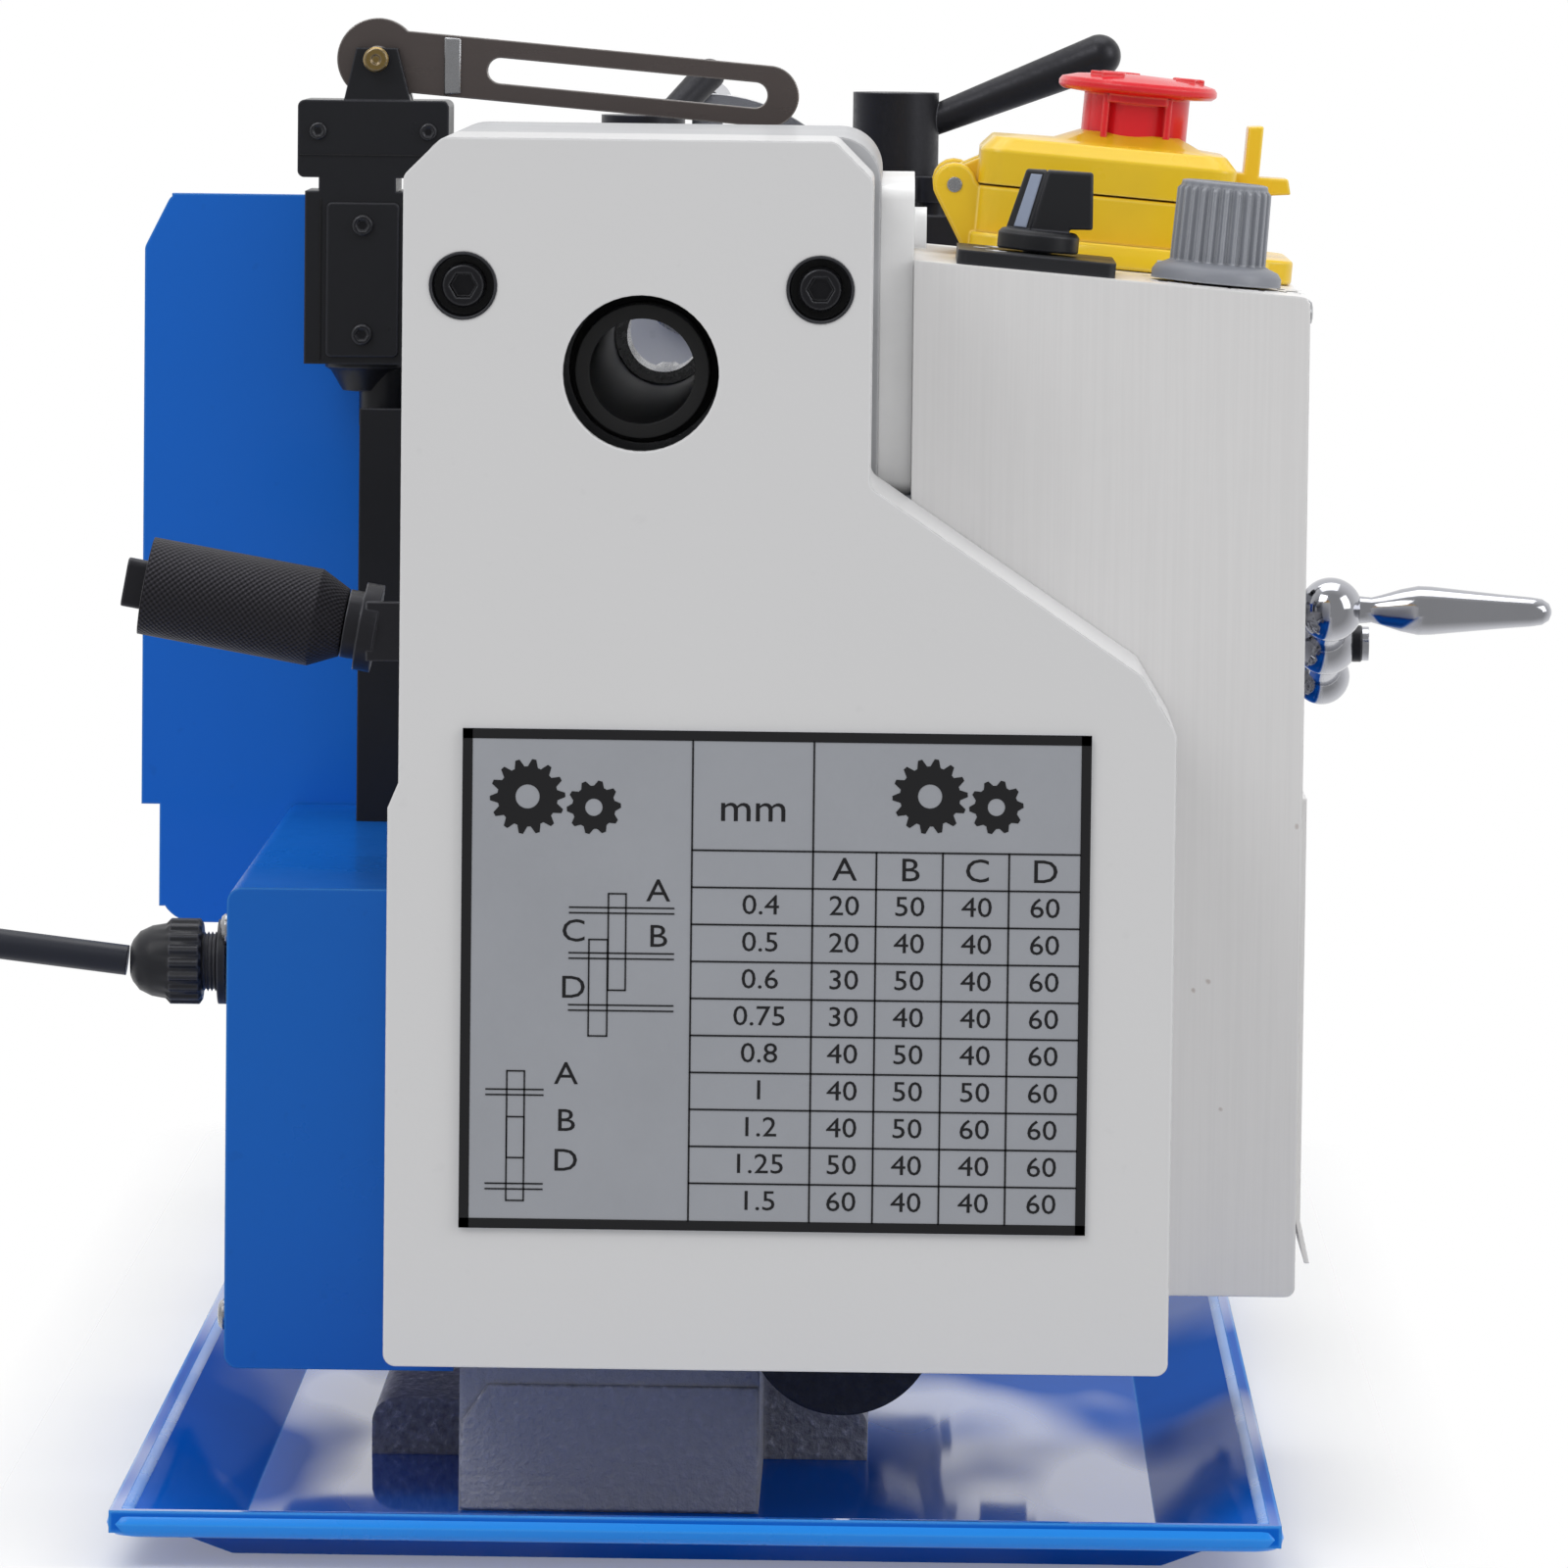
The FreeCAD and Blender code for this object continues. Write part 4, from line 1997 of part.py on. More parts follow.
def make_compound_crank():
    """Compound screw, small dial and small ball crank."""
    y = -compound_front
    dial_x = span(compound_bearing_end + dial_gap, compound_dial_length)
    hub_x = dial_x[1] + compound_crank_gap
    screw = x_rod(compound_screw_radius, (compound_x, hub_x), y, compound_screw_z)
    dial = x_rod(compound_dial_radius, dial_x, y, compound_screw_z)
    size = ball_radius * compound_ball_share
    step = ball_step * compound_ball_share
    centre = point(hub_x, y, compound_screw_z)
    high, low = centre + point(0, 0, step), centre - point(0, 0, step)
    parts = [screw, dial, ball(size, centre), ball(size, high), ball(size * crank_end_share, low)]
    parts.append(rod(ball_neck * compound_ball_share, low, high))
    reach = handle_reach * compound_ball_share
    belly, tip = high + point(reach / 2, 0, 0), high + point(reach, 0, 0)
    share = compound_ball_share
    parts.append(cone(handle_neck_radius * share, handle_belly_radius * share, high, belly))
    parts.append(cone(handle_belly_radius * share, handle_tip_radius * share, belly, tip))
    return fuse(parts)


def make_tool_post():
    """Four-way tool block and its eight clamp screws."""
    x, y = centred(post_x, 2 * post_half), centred(-compound_front, 2 * post_half)
    block = rounded_box(x, y, (post_low, post_top), cross_edge)
    slot_z = (post_low + post_slot_low, post_low + post_slot_low + post_slot_height)
    for side in (-1, 1):
        reach = sorted((side * (post_half - post_slot_depth), side * (post_half + overrun)))
        block = block.cut(box(shifted(reach, post_x), grown(y, overrun), slot_z))
        block = block.cut(box(grown(x, overrun), shifted(reach, -compound_front), slot_z))
    hole_z = grown((post_low, post_top), overrun)
    block = block.cut(z_rod(post_stud_radius + running, post_x, -compound_front, hole_z))
    screws = []
    out, along = post_half - post_slot_depth / 2, post_screw_inset
    for u, v in ((out, along), (out, -along), (-out, along), (-out, -along)):
        for dx, dy in ((u, v), (v, u)):
            at = (post_x + dx, -compound_front + dy)
            shank = z_rod(post_screw_radius, *at, (slot_z[1], post_top + post_screw_rise))
            head_z = (post_top + post_screw_rise - post_head_height, post_top + post_screw_rise)
            screws.append(fuse([shank, z_rod(post_head_radius, *at, head_z)]))
            hole_z = (slot_z[1] - overrun, post_top + overrun)
            block = block.cut(z_rod(post_screw_radius + running, *at, hole_z))
    return group([block] + screws)


def make_tool_post_lever():
    low = post_top + seat
    high = low + post_hub_height
    hub = z_rod(post_hub_radius, post_x, -compound_front, (low, high))
    start = point(post_x, -compound_front, high - post_hub_radius)
    end = point(post_x, -compound_front - post_lever_length, start.z + post_lever_rise)
    lever = fuse([hub, cone(post_lever_root, post_lever_tip, start, end), ball(post_lever_tip, end)])
    hole_z = (low - overrun, low + post_hub_height * post_stud_share)
    hole = z_rod(post_stud_radius + running, post_x, -compound_front, hole_z)
    return lever.cut(hole)


tail_body_x = (tail_start, tail_end)
quill_start = tail_start - quill_reach
clamp_x = centred(tailstock_x, tailstock_length / 2)


def make_tailstock_body():
    """Base on the ways, neck, barrel and end flange, with its bed clamp."""
    base_z = (way_z + sliding, way_z + sliding + tailstock_base)
    base = box(tail_body_x, centred(0, 2 * tailstock_half), base_z)
    neck = box(tail_body_x, centred(0, 2 * tailstock_neck_half), (base_z[1], axis_z))
    barrel = x_rod(tailstock_barrel_radius, tail_body_x, 0, axis_z)
    flange = x_rod(tail_flange_radius, span(tail_end, tail_flange_thick), 0, axis_z)
    body = fuse([base, neck, barrel, flange])
    body = body.cut(vee(grown(tail_body_x, overrun), sliding))
    rear_wall = tail_end - tail_flange_thick / 2
    body = body.cut(x_rod(quill_radius + running, (tail_start - overrun, rear_wall), 0, axis_z))
    screw_hole_x = (rear_wall - overrun, tail_end + tail_flange_thick + overrun)
    body = body.cut(x_rod(tail_screw_radius + running, screw_hole_x, 0, axis_z))
    hole_x = tailstock_x + lock_along
    body = body.cut(z_rod(lock_stem_radius + running, hole_x, lock_rear, (lock_low, lock_top + overrun)))
    clamp_top = way_z - rail_depth - clamp_gap
    plate_y = centred(0, 2 * (wall_outer - wall_thick - clamp_gap))
    plate = box(clamp_x, plate_y, (clamp_top - clamp_thick, clamp_top))
    stud = z_rod(clamp_stud_radius, tailstock_x, 0, (clamp_top, base_z[0]))
    return group([body, fuse([plate, stud])])


lock_low = axis_z + math.sqrt(quill_radius ** 2 - (lock_rear - lock_stem_radius) ** 2) + seat
lock_top = axis_z + tailstock_barrel_radius


def make_quill():
    """Quill with the dead centre seated in its taper."""
    x = span(quill_start, quill_length)
    quill = x_rod(quill_radius, x, 0, axis_z)
    socket_end = x[0] + centre_socket
    mouth = point(x[0], 0, axis_z)
    quill = quill.cut(cone(centre_radius, centre_taper, mouth, point(socket_end, 0, axis_z)))
    quill = quill.cut(x_rod(tail_screw_radius + seat, (socket_end + seat, x[1] + overrun), 0, axis_z))
    shank_end = point(socket_end - seat, 0, axis_z)
    shank = cone(centre_radius - running, centre_taper - running, mouth, shank_end)
    collar = x_rod(centre_radius, (x[0] - centre_length / 3, x[0]), 0, axis_z)
    tip = point(x[0] - centre_length, 0, axis_z)
    shoulder = point(x[0] - centre_length / 3, 0, axis_z)
    nose = cone(0, centre_radius, tip, shoulder)
    return group([quill, fuse([shank, collar, nose])])


def make_tail_handwheel():
    """Tailstock handwheel with its screw into the quill."""
    start = tail_end + tail_flange_thick + tail_wheel_gap
    x = span(start, tail_wheel_thick)
    rim = x_pipe(tail_wheel_radius, tail_wheel_radius - handwheel_rim, x, 0, axis_z)
    hub = x_rod(handwheel_hub_radius, (tail_end + tail_flange_thick + seat, x[1]), 0, axis_z)
    screw_start = quill_start + centre_socket + quill_reach
    screw = x_rod(tail_screw_radius, (screw_start, x[1]), 0, axis_z)
    parts = [rim, hub, screw]
    centre = (0, axis_z)
    for angle in spoke_angles:
        end = on_circle(centre, tail_wheel_radius - handwheel_rim / 2, angle)
        parts.append(prism_x(link_outline(centre, spoke_half, end, spoke_half), grown(x, -spoke_inset)))
    at = on_circle(centre, tail_wheel_radius - handwheel_rim / 2, spoke_angles[0])
    parts.append(turned_handle(point(x[1], *at), point(1, 0, 0)))
    return fuse(parts)


def make_quill_lock():
    x = tailstock_x + lock_along
    hub_low = lock_top + sheet
    stem = z_rod(lock_stem_radius, x, lock_rear, (lock_low + seat, hub_low))
    hub = z_rod(lock_hub_radius, x, lock_rear, span(hub_low, lock_hub_height))
    start = point(x, lock_rear, hub_low + lock_hub_height / 2)
    end = start + point(lock_lever_length * lock_lever_share, -lock_lever_length / 2, lock_lever_rise)
    return fuse([stem, hub, cone(post_lever_root, lock_tip_radius, start, end), ball(lock_tip_radius, end)])


def nodes():
    """Every node's name and shape, in the order they are written."""
    yield "chip_tray", make_chip_tray()
    yield "bed", make_bed()
    yield "headstock", make_headstock()
    yield "spindle", make_spindle()
    yield "spindle_gears", make_spindle_gears()
    yield "drive_belt", make_belt()
    yield "motor", make_motor()
    yield "motor_rotor", make_motor_rotor()
    yield "tumbler_bracket", make_tumbler_bracket()
    yield "tumbler_gear_1", make_idler(idler_1_at, idler_1_phase)
    yield "tumbler_gear_2", make_idler(idler_2_at, idler_2_phase)
    yield "plunger_knob", make_plunger()
    yield "stud_gears", make_stud_gears()
    yield "gear_banjo", make_banjo()
    yield "banjo_gears", make_banjo_gears()
    yield "leadscrew", make_leadscrew()
    yield "leadscrew_brackets", make_leadscrew_brackets()
    yield "end_cover", make_end_cover()
    yield "cover_screws", make_cover_screws()
    yield "gear_chart_plate", make_chart_plate()
    yield "side_plate", make_side_plate()
    yield "control_box", make_control_box()
    yield "switch_plate", make_switch_plate()
    yield "direction_knob", make_direction_knob()
    yield "speed_knob", make_speed_knob()
    yield "estop_base", make_estop_base()
    yield "estop_lid", make_estop_lid()
    yield "estop_button", make_estop_button()
    yield "rear_box", make_rear_box()
    yield "cable_gland", make_cable_gland()
    yield "power_cord", make_power_cord()
    yield "cord_coil", make_cord_coil()
    yield "mains_plug", make_mains_plug()
    yield "splash_guard", make_splash_guard()
    yield "guard_switch", make_guard_switch()
    yield "guard_arm", make_guard_arm()
    yield "chuck_body", make_chuck_body()
    yield "chuck_scroll", make_chuck_scroll()
    for number, angle in enumerate(jaw_angles, 1):
        yield "chuck_jaw_" + str(number), make_jaw(angle)
    yield "saddle", make_saddle()
    yield "apron", make_apron()
    yield "rack_pinion", make_rack_pinion()
    yield "apron_handwheel", make_apron_handwheel()
    yield "half_nut_upper", make_half_nut(1)
    yield "half_nut_lower", make_half_nut(-1)
    yield "half_nut_lever", make_half_nut_lever()
    yield "cross_slide", make_cross_slide()
    yield "cross_slide_crank", make_cross_crank()
    yield "crank_handle", make_crank_handle()
    yield "compound_base", make_compound_base()
    yield "compound_slide", make_compound_slide()
    yield "compound_crank", make_compound_crank()
    yield "tool_post", make_tool_post()
    yield "tool_post_lever", make_tool_post_lever()
    yield "tailstock_body", make_tailstock_body()
    yield "tailstock_quill", make_quill()
    yield "tailstock_handwheel", make_tail_handwheel()
    yield "quill_lock_lever", make_quill_lock()


os.makedirs("parts", exist_ok=True)
for node, shape in nodes():
    shape.exportStep("parts/" + node + ".step")
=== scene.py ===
import math

import bmesh
import bpy
from mathutils import Matrix, Vector


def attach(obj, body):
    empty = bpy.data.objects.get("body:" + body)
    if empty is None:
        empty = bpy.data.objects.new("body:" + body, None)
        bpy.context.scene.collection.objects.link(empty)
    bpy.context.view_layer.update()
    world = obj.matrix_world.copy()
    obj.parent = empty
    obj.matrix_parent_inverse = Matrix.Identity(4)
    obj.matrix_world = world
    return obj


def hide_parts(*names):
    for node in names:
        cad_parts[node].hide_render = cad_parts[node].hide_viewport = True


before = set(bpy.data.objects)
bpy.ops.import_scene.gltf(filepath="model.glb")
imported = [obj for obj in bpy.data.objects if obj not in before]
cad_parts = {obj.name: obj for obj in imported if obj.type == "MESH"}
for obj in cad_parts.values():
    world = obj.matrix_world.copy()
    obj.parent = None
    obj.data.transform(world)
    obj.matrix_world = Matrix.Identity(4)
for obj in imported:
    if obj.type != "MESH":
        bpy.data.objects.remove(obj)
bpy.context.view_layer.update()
scene = bpy.context.scene
MM = 0.001
AXIS = 238.5


def place_camera():
    """Camera fitted: lines along X meet at one point, and uprights lean a little."""
    focal, meet, lean = 10300, (128, -872), math.radians(0.73)
    along = Vector((meet[0] / focal, meet[1] / focal, 1)).normalized()
    down = Vector((-math.sin(lean), math.cos(lean), 0))
    down = (down - along * down.dot(along)).normalized()
    rear = (-down).cross(along)
    rows = [Vector((along[i], rear[i], -down[i])) for i in range(3)]
    turn = Matrix((rows[0], -rows[1], -rows[2])).transposed()
    data = bpy.data.cameras.new("camera")
    data.sensor_width = 36
    data.lens = 36 * focal / 1600
    data.clip_end = 60
    camera = bpy.data.objects.new("camera", data)
    scene.collection.objects.link(camera)
    camera.matrix_world = Matrix.Translation((-2.3442, -0.0521, 0.3268)) @ turn.to_4x4()
    scene.camera = camera


place_camera()


# Material helpers

def rgb(code):
    """sRGB hex code to linear."""
    parts = [int(code[i:i + 2], 16) / 255 for i in (0, 2, 4)]
    return [v / 12.92 if v <= 0.04045 else ((v + 0.055) / 1.055) ** 2.4 for v in parts] + [1]


def add(tree, kind, values=(), **settings):
    """One shader node with its settings and its inputs, each a value or another node's output."""
    made = tree.nodes.new("ShaderNode" + kind)
    for key, value in settings.items():
        setattr(made, key, value)
    for key, value in dict(values).items():
        connect(tree, made, key, value)
    return made


def connect(tree, node, key, value):
    """Feeds an input from another node's output, or sets it to a plain value."""
    if isinstance(value, bpy.types.NodeSocket):
        tree.links.new(value, node.inputs[key])
    else:
        node.inputs[key].default_value = value


def shade(code, share):
    """A hex colour made darker or lighter by a share of itself."""
    return [min(1, v * share) for v in rgb(code)[:3]] + [1]


def begin(name):
    """New material: its tree, its principled shader and the place in metres."""
    made = bpy.data.materials.new(name)
    made.use_nodes = True
    tree = made.node_tree
    place = add(tree, "TexCoord").outputs["Object"]
    return made, tree, tree.nodes["Principled BSDF"], place


def noise(tree, place, grain_mm, detail=3.0, rough=0.5, stretch=(1, 1, 1)):
    """Noise whose cells are about grain_mm across, longer along an axis with a small stretch."""
    place = add(tree, "Mapping", {"Vector": place, "Scale": stretch}).outputs[0]
    values = {"Vector": place, "Scale": 1000 / grain_mm, "Detail": detail, "Roughness": rough}
    return add(tree, "TexNoise", values).outputs[0]


def remap(tree, value, low, high, start, end):
    """Value that runs from start to end while the given one runs from low to high."""
    return add(tree, "MapRange", {0: value, 1: low, 2: high, 3: start, 4: end}).outputs[0]


def mixed(tree, share, a, b):
    """First colour at share 0, second at share 1."""
    return add(tree, "MixRGB", {"Fac": share, "Color1": a, "Color2": b}).outputs[0]


# Edge mask: the colour laid with it paints edges lighter, partly for wear and partly as a painted highlight
# on rounded edges.
def worn_edges(tree, radius_mm, share):
    """Up to the share on sharp edges, and 0 on open faces."""
    bevel = add(tree, "Bevel", {"Radius": radius_mm * MM}, samples=4).outputs[0]
    true = add(tree, "NewGeometry").outputs["Normal"]
    facing_share = add(tree, "VectorMath", {0: bevel, 1: true}, operation="DOT_PRODUCT").outputs["Value"]
    return remap(tree, facing_share, 0.995, 0.9, 0.0, share)


def skin(tree, height, depth_mm, round_mm, strength=0.7):
    """Bumped normal on top of softly rounded edges."""
    soft = add(tree, "Bevel", {"Radius": round_mm * MM}, samples=4).outputs[0]
    values = {"Height": height, "Distance": depth_mm * MM, "Strength": strength, "Normal": soft}
    return add(tree, "Bump", values).outputs[0]


def dress_shader(tree, shader, **values):
    """Sets the shader's inputs by name, with a low line for each space."""
    for key, value in values.items():
        connect(tree, shader, key.replace("_", " "), value)


# Materials

def enamel(name, code, rough, gloss, edge_wear_and_highlight_code, peel_mm=0.03, dirt=0.05):
    """Sprayed stove enamel: faint orange peel, handling marks, and edges painted lighter, for paint worn thin
    and as a painted highlight.
    """
    made, tree, shader, place = begin(name)
    clouds = noise(tree, place, 110, 4.0)
    colour = mixed(tree, clouds, rgb(code), shade(code, 1 - 2 * dirt))
    specks = remap(tree, noise(tree, place, 4.5, 2.0), 0.7, 0.76, 0.0, dirt * 3)
    colour = mixed(tree, specks, colour, shade(code, 0.55))
    # Painted highlight and wear: edges lighter.
    colour = mixed(tree, worn_edges(tree, 0.8, 0.8), colour, rgb(edge_wear_and_highlight_code))
    roughness = remap(tree, noise(tree, place, 45, 5.0, 0.6), 0.3, 0.7, rough * 0.8, rough * 1.25)
    peel = skin(tree, noise(tree, place, 1.6, 1.5), peel_mm, 0.6)
    dress_shader(tree, shader, Base_Color=colour, Roughness=roughness, Normal=peel, Coat_Normal=peel)
    dress_shader(tree, shader, Coat_Weight=gloss, Coat_Roughness=0.08, Specular_IOR_Level=0.25)
    return made


def tray_enamel(name, code, edge_wear_and_highlight_code):
    """Gloss enamel on pressed sheet: smeared oil breaks its shine into streaks, and the sides stay duller."""
    made, tree, shader, place = begin(name)
    colour = mixed(tree, noise(tree, place, 90, 4.0), rgb(code), shade(code, 0.8))
    # Painted highlight and wear: the sheet's edges lighter blue.
    colour = mixed(tree, worn_edges(tree, 1.2, 0.9), colour, rgb(edge_wear_and_highlight_code))
    waves = noise(tree, place, 60, 1.5, 0.5, (0.3, 1, 1))
    ripple = skin(tree, waves, 1.3, 0.8, 0.9)
    smears = noise(tree, place, 60, 2.0, 0.45, (0.3, 1, 1))
    streaks = remap(tree, smears, 0.4, 0.52, 0.15, 1.0)
    upward = add(tree, "SeparateXYZ", {0: add(tree, "NewGeometry").outputs["Normal"]}).outputs[2]
    level_share = remap(tree, upward, 0.9, 0.99, 0.3, 1.0)
    shine = add(tree, "Math", {0: streaks, 1: level_share}, operation="MULTIPLY").outputs[0]
    roughness = remap(tree, noise(tree, place, 30, 4.0), 0.35, 0.7, 0.3, 0.4)
    dress_shader(tree, shader, Base_Color=colour, Roughness=roughness, Normal=ripple, Coat_Normal=ripple)
    dress_shader(tree, shader, Coat_Weight=shine, Coat_Roughness=0.05, Specular_IOR_Level=0.0)
    return made


def bare_metal(name, code, rough, grain=(1, 1, 1), depth_mm=0.01, worn=0.25, edge_wear_and_highlight_code="e8e8ea",
               metallic=1.0):
    """Machined or blackened metal: tool marks run along the axis with a small grain number."""
    made, tree, shader, place = begin(name)
    lines = noise(tree, place, 1.1, 3.0, 0.65, grain)
    clouds = noise(tree, place, 25, 4.0, 0.6)
    colour = mixed(tree, clouds, rgb(code), shade(code, 0.8))
    # Painted highlight and wear: edges lighter.
    colour = mixed(tree, worn_edges(tree, 0.6, worn), colour, rgb(edge_wear_and_highlight_code))
    roughness = remap(tree, mixed(tree, 0.5, lines, clouds), 0.35, 0.65, rough * 0.7, rough * 1.3)
    marks = skin(tree, lines, depth_mm, 0.4)
    dress_shader(tree, shader, Base_Color=colour, Metallic=metallic, Roughness=roughness, Normal=marks)
    return made


def moulded(name, code, rough, grain_mm=1.1, depth_mm=0.02, edge_wear_and_highlight_code=None, through=0.0, gloss=0.0):
    """Moulded plastic or rubber: a fine spark-eroded grain, and edges painted paler, for rubbing and as a
    painted highlight.
    """
    made, tree, shader, place = begin(name)
    clouds = noise(tree, place, 16)
    colour = mixed(tree, clouds, rgb(code), shade(code, 0.84))
    # Painted highlight and wear: edges paler.
    if edge_wear_and_highlight_code:
        colour = mixed(tree, worn_edges(tree, 0.7, 0.8), colour, rgb(edge_wear_and_highlight_code))
    roughness = remap(tree, clouds, 0.3, 0.7, rough * 0.85, rough * 1.15)
    grain = skin(tree, noise(tree, place, grain_mm, 2.0), depth_mm, 0.5)
    dress_shader(tree, shader, Base_Color=colour, Roughness=roughness, Normal=grain)
    dress_shader(tree, shader, Subsurface_Weight=through, Coat_Weight=gloss, Specular_IOR_Level=0.35)
    return made


def sand_casting(name, code, edge_wear_and_highlight_code, depth_mm=0.9):
    """Thin paint over a sand casting: painted highlights on the pebble tops, painted shade in the pits, and
    the end face even, as milled, and painted a little lighter against its shade.
    """
    made, tree, shader, place = begin(name)
    pebble = noise(tree, place, 2.0, 5.0, 0.62)
    clouds = noise(tree, place, 30, 4.0, 0.6)
    # Painted light: the end face that faces -X is made even and a little lighter.
    end_way = add(tree, "SeparateXYZ", {0: add(tree, "NewGeometry").outputs["Normal"]}).outputs[0]
    end_face_even_and_lighter = remap(tree, end_way, -0.85, -0.98, 0.0, 1.0)
    at_end = remap(tree, add(tree, "SeparateXYZ", {0: place}).outputs[0], -0.26, -0.27, 0.0, 0.85)
    end_face_even_and_lighter = add(tree, "Math", {0: end_face_even_and_lighter, 1: at_end}, operation="MULTIPLY").outputs[0]
    colour = mixed(tree, remap(tree, clouds, 0.3, 0.7, 0.0, 0.6), rgb(code), shade(code, 0.7))
    # Painted shade: the pits between the pebbles darker.
    pits = remap(tree, pebble, 0.5, 0.36, 0.0, 0.5)
    colour = mixed(tree, pits, colour, shade(code, 0.4))
    # Painted highlight: the pebble tops lighter, as glints.
    pebble_glints = remap(tree, pebble, 0.55, 0.66, 0.0, 0.9)
    colour = mixed(tree, pebble_glints, colour, rgb(edge_wear_and_highlight_code))
    colour = mixed(tree, end_face_even_and_lighter, colour, shade(code, 1.05))
    # Painted highlight and wear: edges lighter.
    colour = mixed(tree, worn_edges(tree, 1.2, 0.35), colour, rgb(edge_wear_and_highlight_code))
    roughness = remap(tree, pebble, 0.3, 0.7, 0.7, 0.42)
    rough_skin = skin(tree, pebble, depth_mm, 1.2, 0.8)
    dress_shader(tree, shader, Base_Color=colour, Metallic=0.2, Roughness=roughness, Normal=rough_skin)
    return made


def knurled(name, code, centre, lean, pitch_mm):
    """Blackened steel with a rolled diamond knurl round a leaning axis, drawn at its real pitch; its grooves
    carry painted shade and its crests a painted highlight.
    """
    made, tree, shader, place = begin(name)
    start = [v * MM for v in centre]
    local = add(tree, "VectorMath", {0: place, 1: start}, operation="SUBTRACT").outputs[0]
    turned_in = add(tree, "VectorRotate", {"Vector": local, "Axis": (1, 0, 0), "Angle": lean}).outputs[0]
    x, y, z = add(tree, "SeparateXYZ", {0: turned_in}).outputs
    angle = add(tree, "Math", {0: x, 1: z}, operation="ARCTAN2").outputs[0]
    waves = []
    for sign in (-1, 1):
        run = add(tree, "Math", {0: y, 1: sign * math.tau / (pitch_mm * MM)}, operation="MULTIPLY").outputs[0]
        total = add(tree, "Math", {0: angle, 1: 50, 2: run}, operation="MULTIPLY_ADD").outputs[0]
        waves.append(add(tree, "Math", {0: total}, operation="SINE").outputs[0])
    peak = add(tree, "Math", {0: waves[0], 1: waves[1]}, operation="ADD").outputs[0]
    height = remap(tree, peak, -2.0, 2.0, 0.0, 1.0)
    # Painted shade in the knurl's grooves and painted highlight on its crests.
    colour = mixed(tree, height, shade(code, 0.35), shade(code, 1.9))
    diamonds = skin(tree, height, 0.2, 0.8, 0.9)
    dress_shader(tree, shader, Base_Color=colour, Metallic=0.7, Roughness=0.5, Normal=diamonds)
    return made


def brushed_sheet(name, code):
    """Stainless sheet, brushed upright: fine lines, soft smudges and a few pits."""
    made, tree, shader, place = begin(name)
    lines = noise(tree, place, 0.9, 2.0, 0.7, (1, 1, 0.015))
    clouds = noise(tree, place, 70, 5.0, 0.65)
    colour = mixed(tree, remap(tree, clouds, 0.45, 0.75, 0.0, 0.4), rgb(code), shade(code, 0.88))
    colour = mixed(tree, remap(tree, lines, 0.4, 0.6, 0.0, 0.08), colour, shade(code, 0.7))
    pits = remap(tree, noise(tree, place, 5.0, 1.0), 0.8, 0.83, 0.0, 0.4)
    colour = mixed(tree, pits, colour, rgb("8a6a58"))
    # Painted highlight and wear: edges near white.
    colour = mixed(tree, worn_edges(tree, 0.7, 0.7), colour, rgb("fbfbfb"))
    roughness = remap(tree, clouds, 0.3, 0.7, 0.3, 0.44)
    brush = skin(tree, lines, 0.012, 0.6)
    dress_shader(tree, shader, Base_Color=colour, Metallic=0.4, Roughness=roughness, Normal=brush)
    return made


def turned_spindle(name, code, shade_code):
    """Turned steel, with painted shade: black in the bore and on the end that shows through the cover."""
    made, tree, shader, place = begin(name)
    along = add(tree, "SeparateXYZ", {0: place}).outputs[0]
    # Painted shade: the tail end seen through the cover, and the bore, turn black.
    tail = remap(tree, along, -296 * MM, -298 * MM, 0.0, 1.0)
    middle = add(tree, "VectorMath", {0: place, 1: (0.0, 0.0, AXIS * MM)}, operation="SUBTRACT").outputs[0]
    middle = add(tree, "VectorMath", {0: middle, 1: (0.0, 1.0, 1.0)}, operation="MULTIPLY").outputs[0]
    radius = add(tree, "VectorMath", {0: middle}, operation="LENGTH").outputs["Value"]
    bore = remap(tree, radius, 11.0 * MM, 11.2 * MM, 1.0, 0.0)
    bore_and_tail_shade = add(tree, "Math", {0: tail, 1: bore}, operation="MAXIMUM").outputs[0]
    lines = noise(tree, place, 1.1, 3.0, 0.6, (0.04, 1, 1))
    steel = mixed(tree, lines, rgb(code), shade(code, 0.75))
    colour = mixed(tree, bore_and_tail_shade, steel, rgb(shade_code))
    metallic = remap(tree, bore_and_tail_shade, 0.0, 1.0, 1.0, 0.0)
    roughness = remap(tree, bore_and_tail_shade, 0.0, 1.0, 0.3, 0.5)
    marks = skin(tree, lines, 0.005, 0.4)
    dress_shader(tree, shader, Base_Color=colour, Metallic=metallic, Roughness=roughness, Normal=marks)
    return made


# The tumbler lever's knee in mm, and how far its grip leans up
KNEE = (-294.5, 54.5, 183.6)
LEVER_LEAN = math.radians(10)

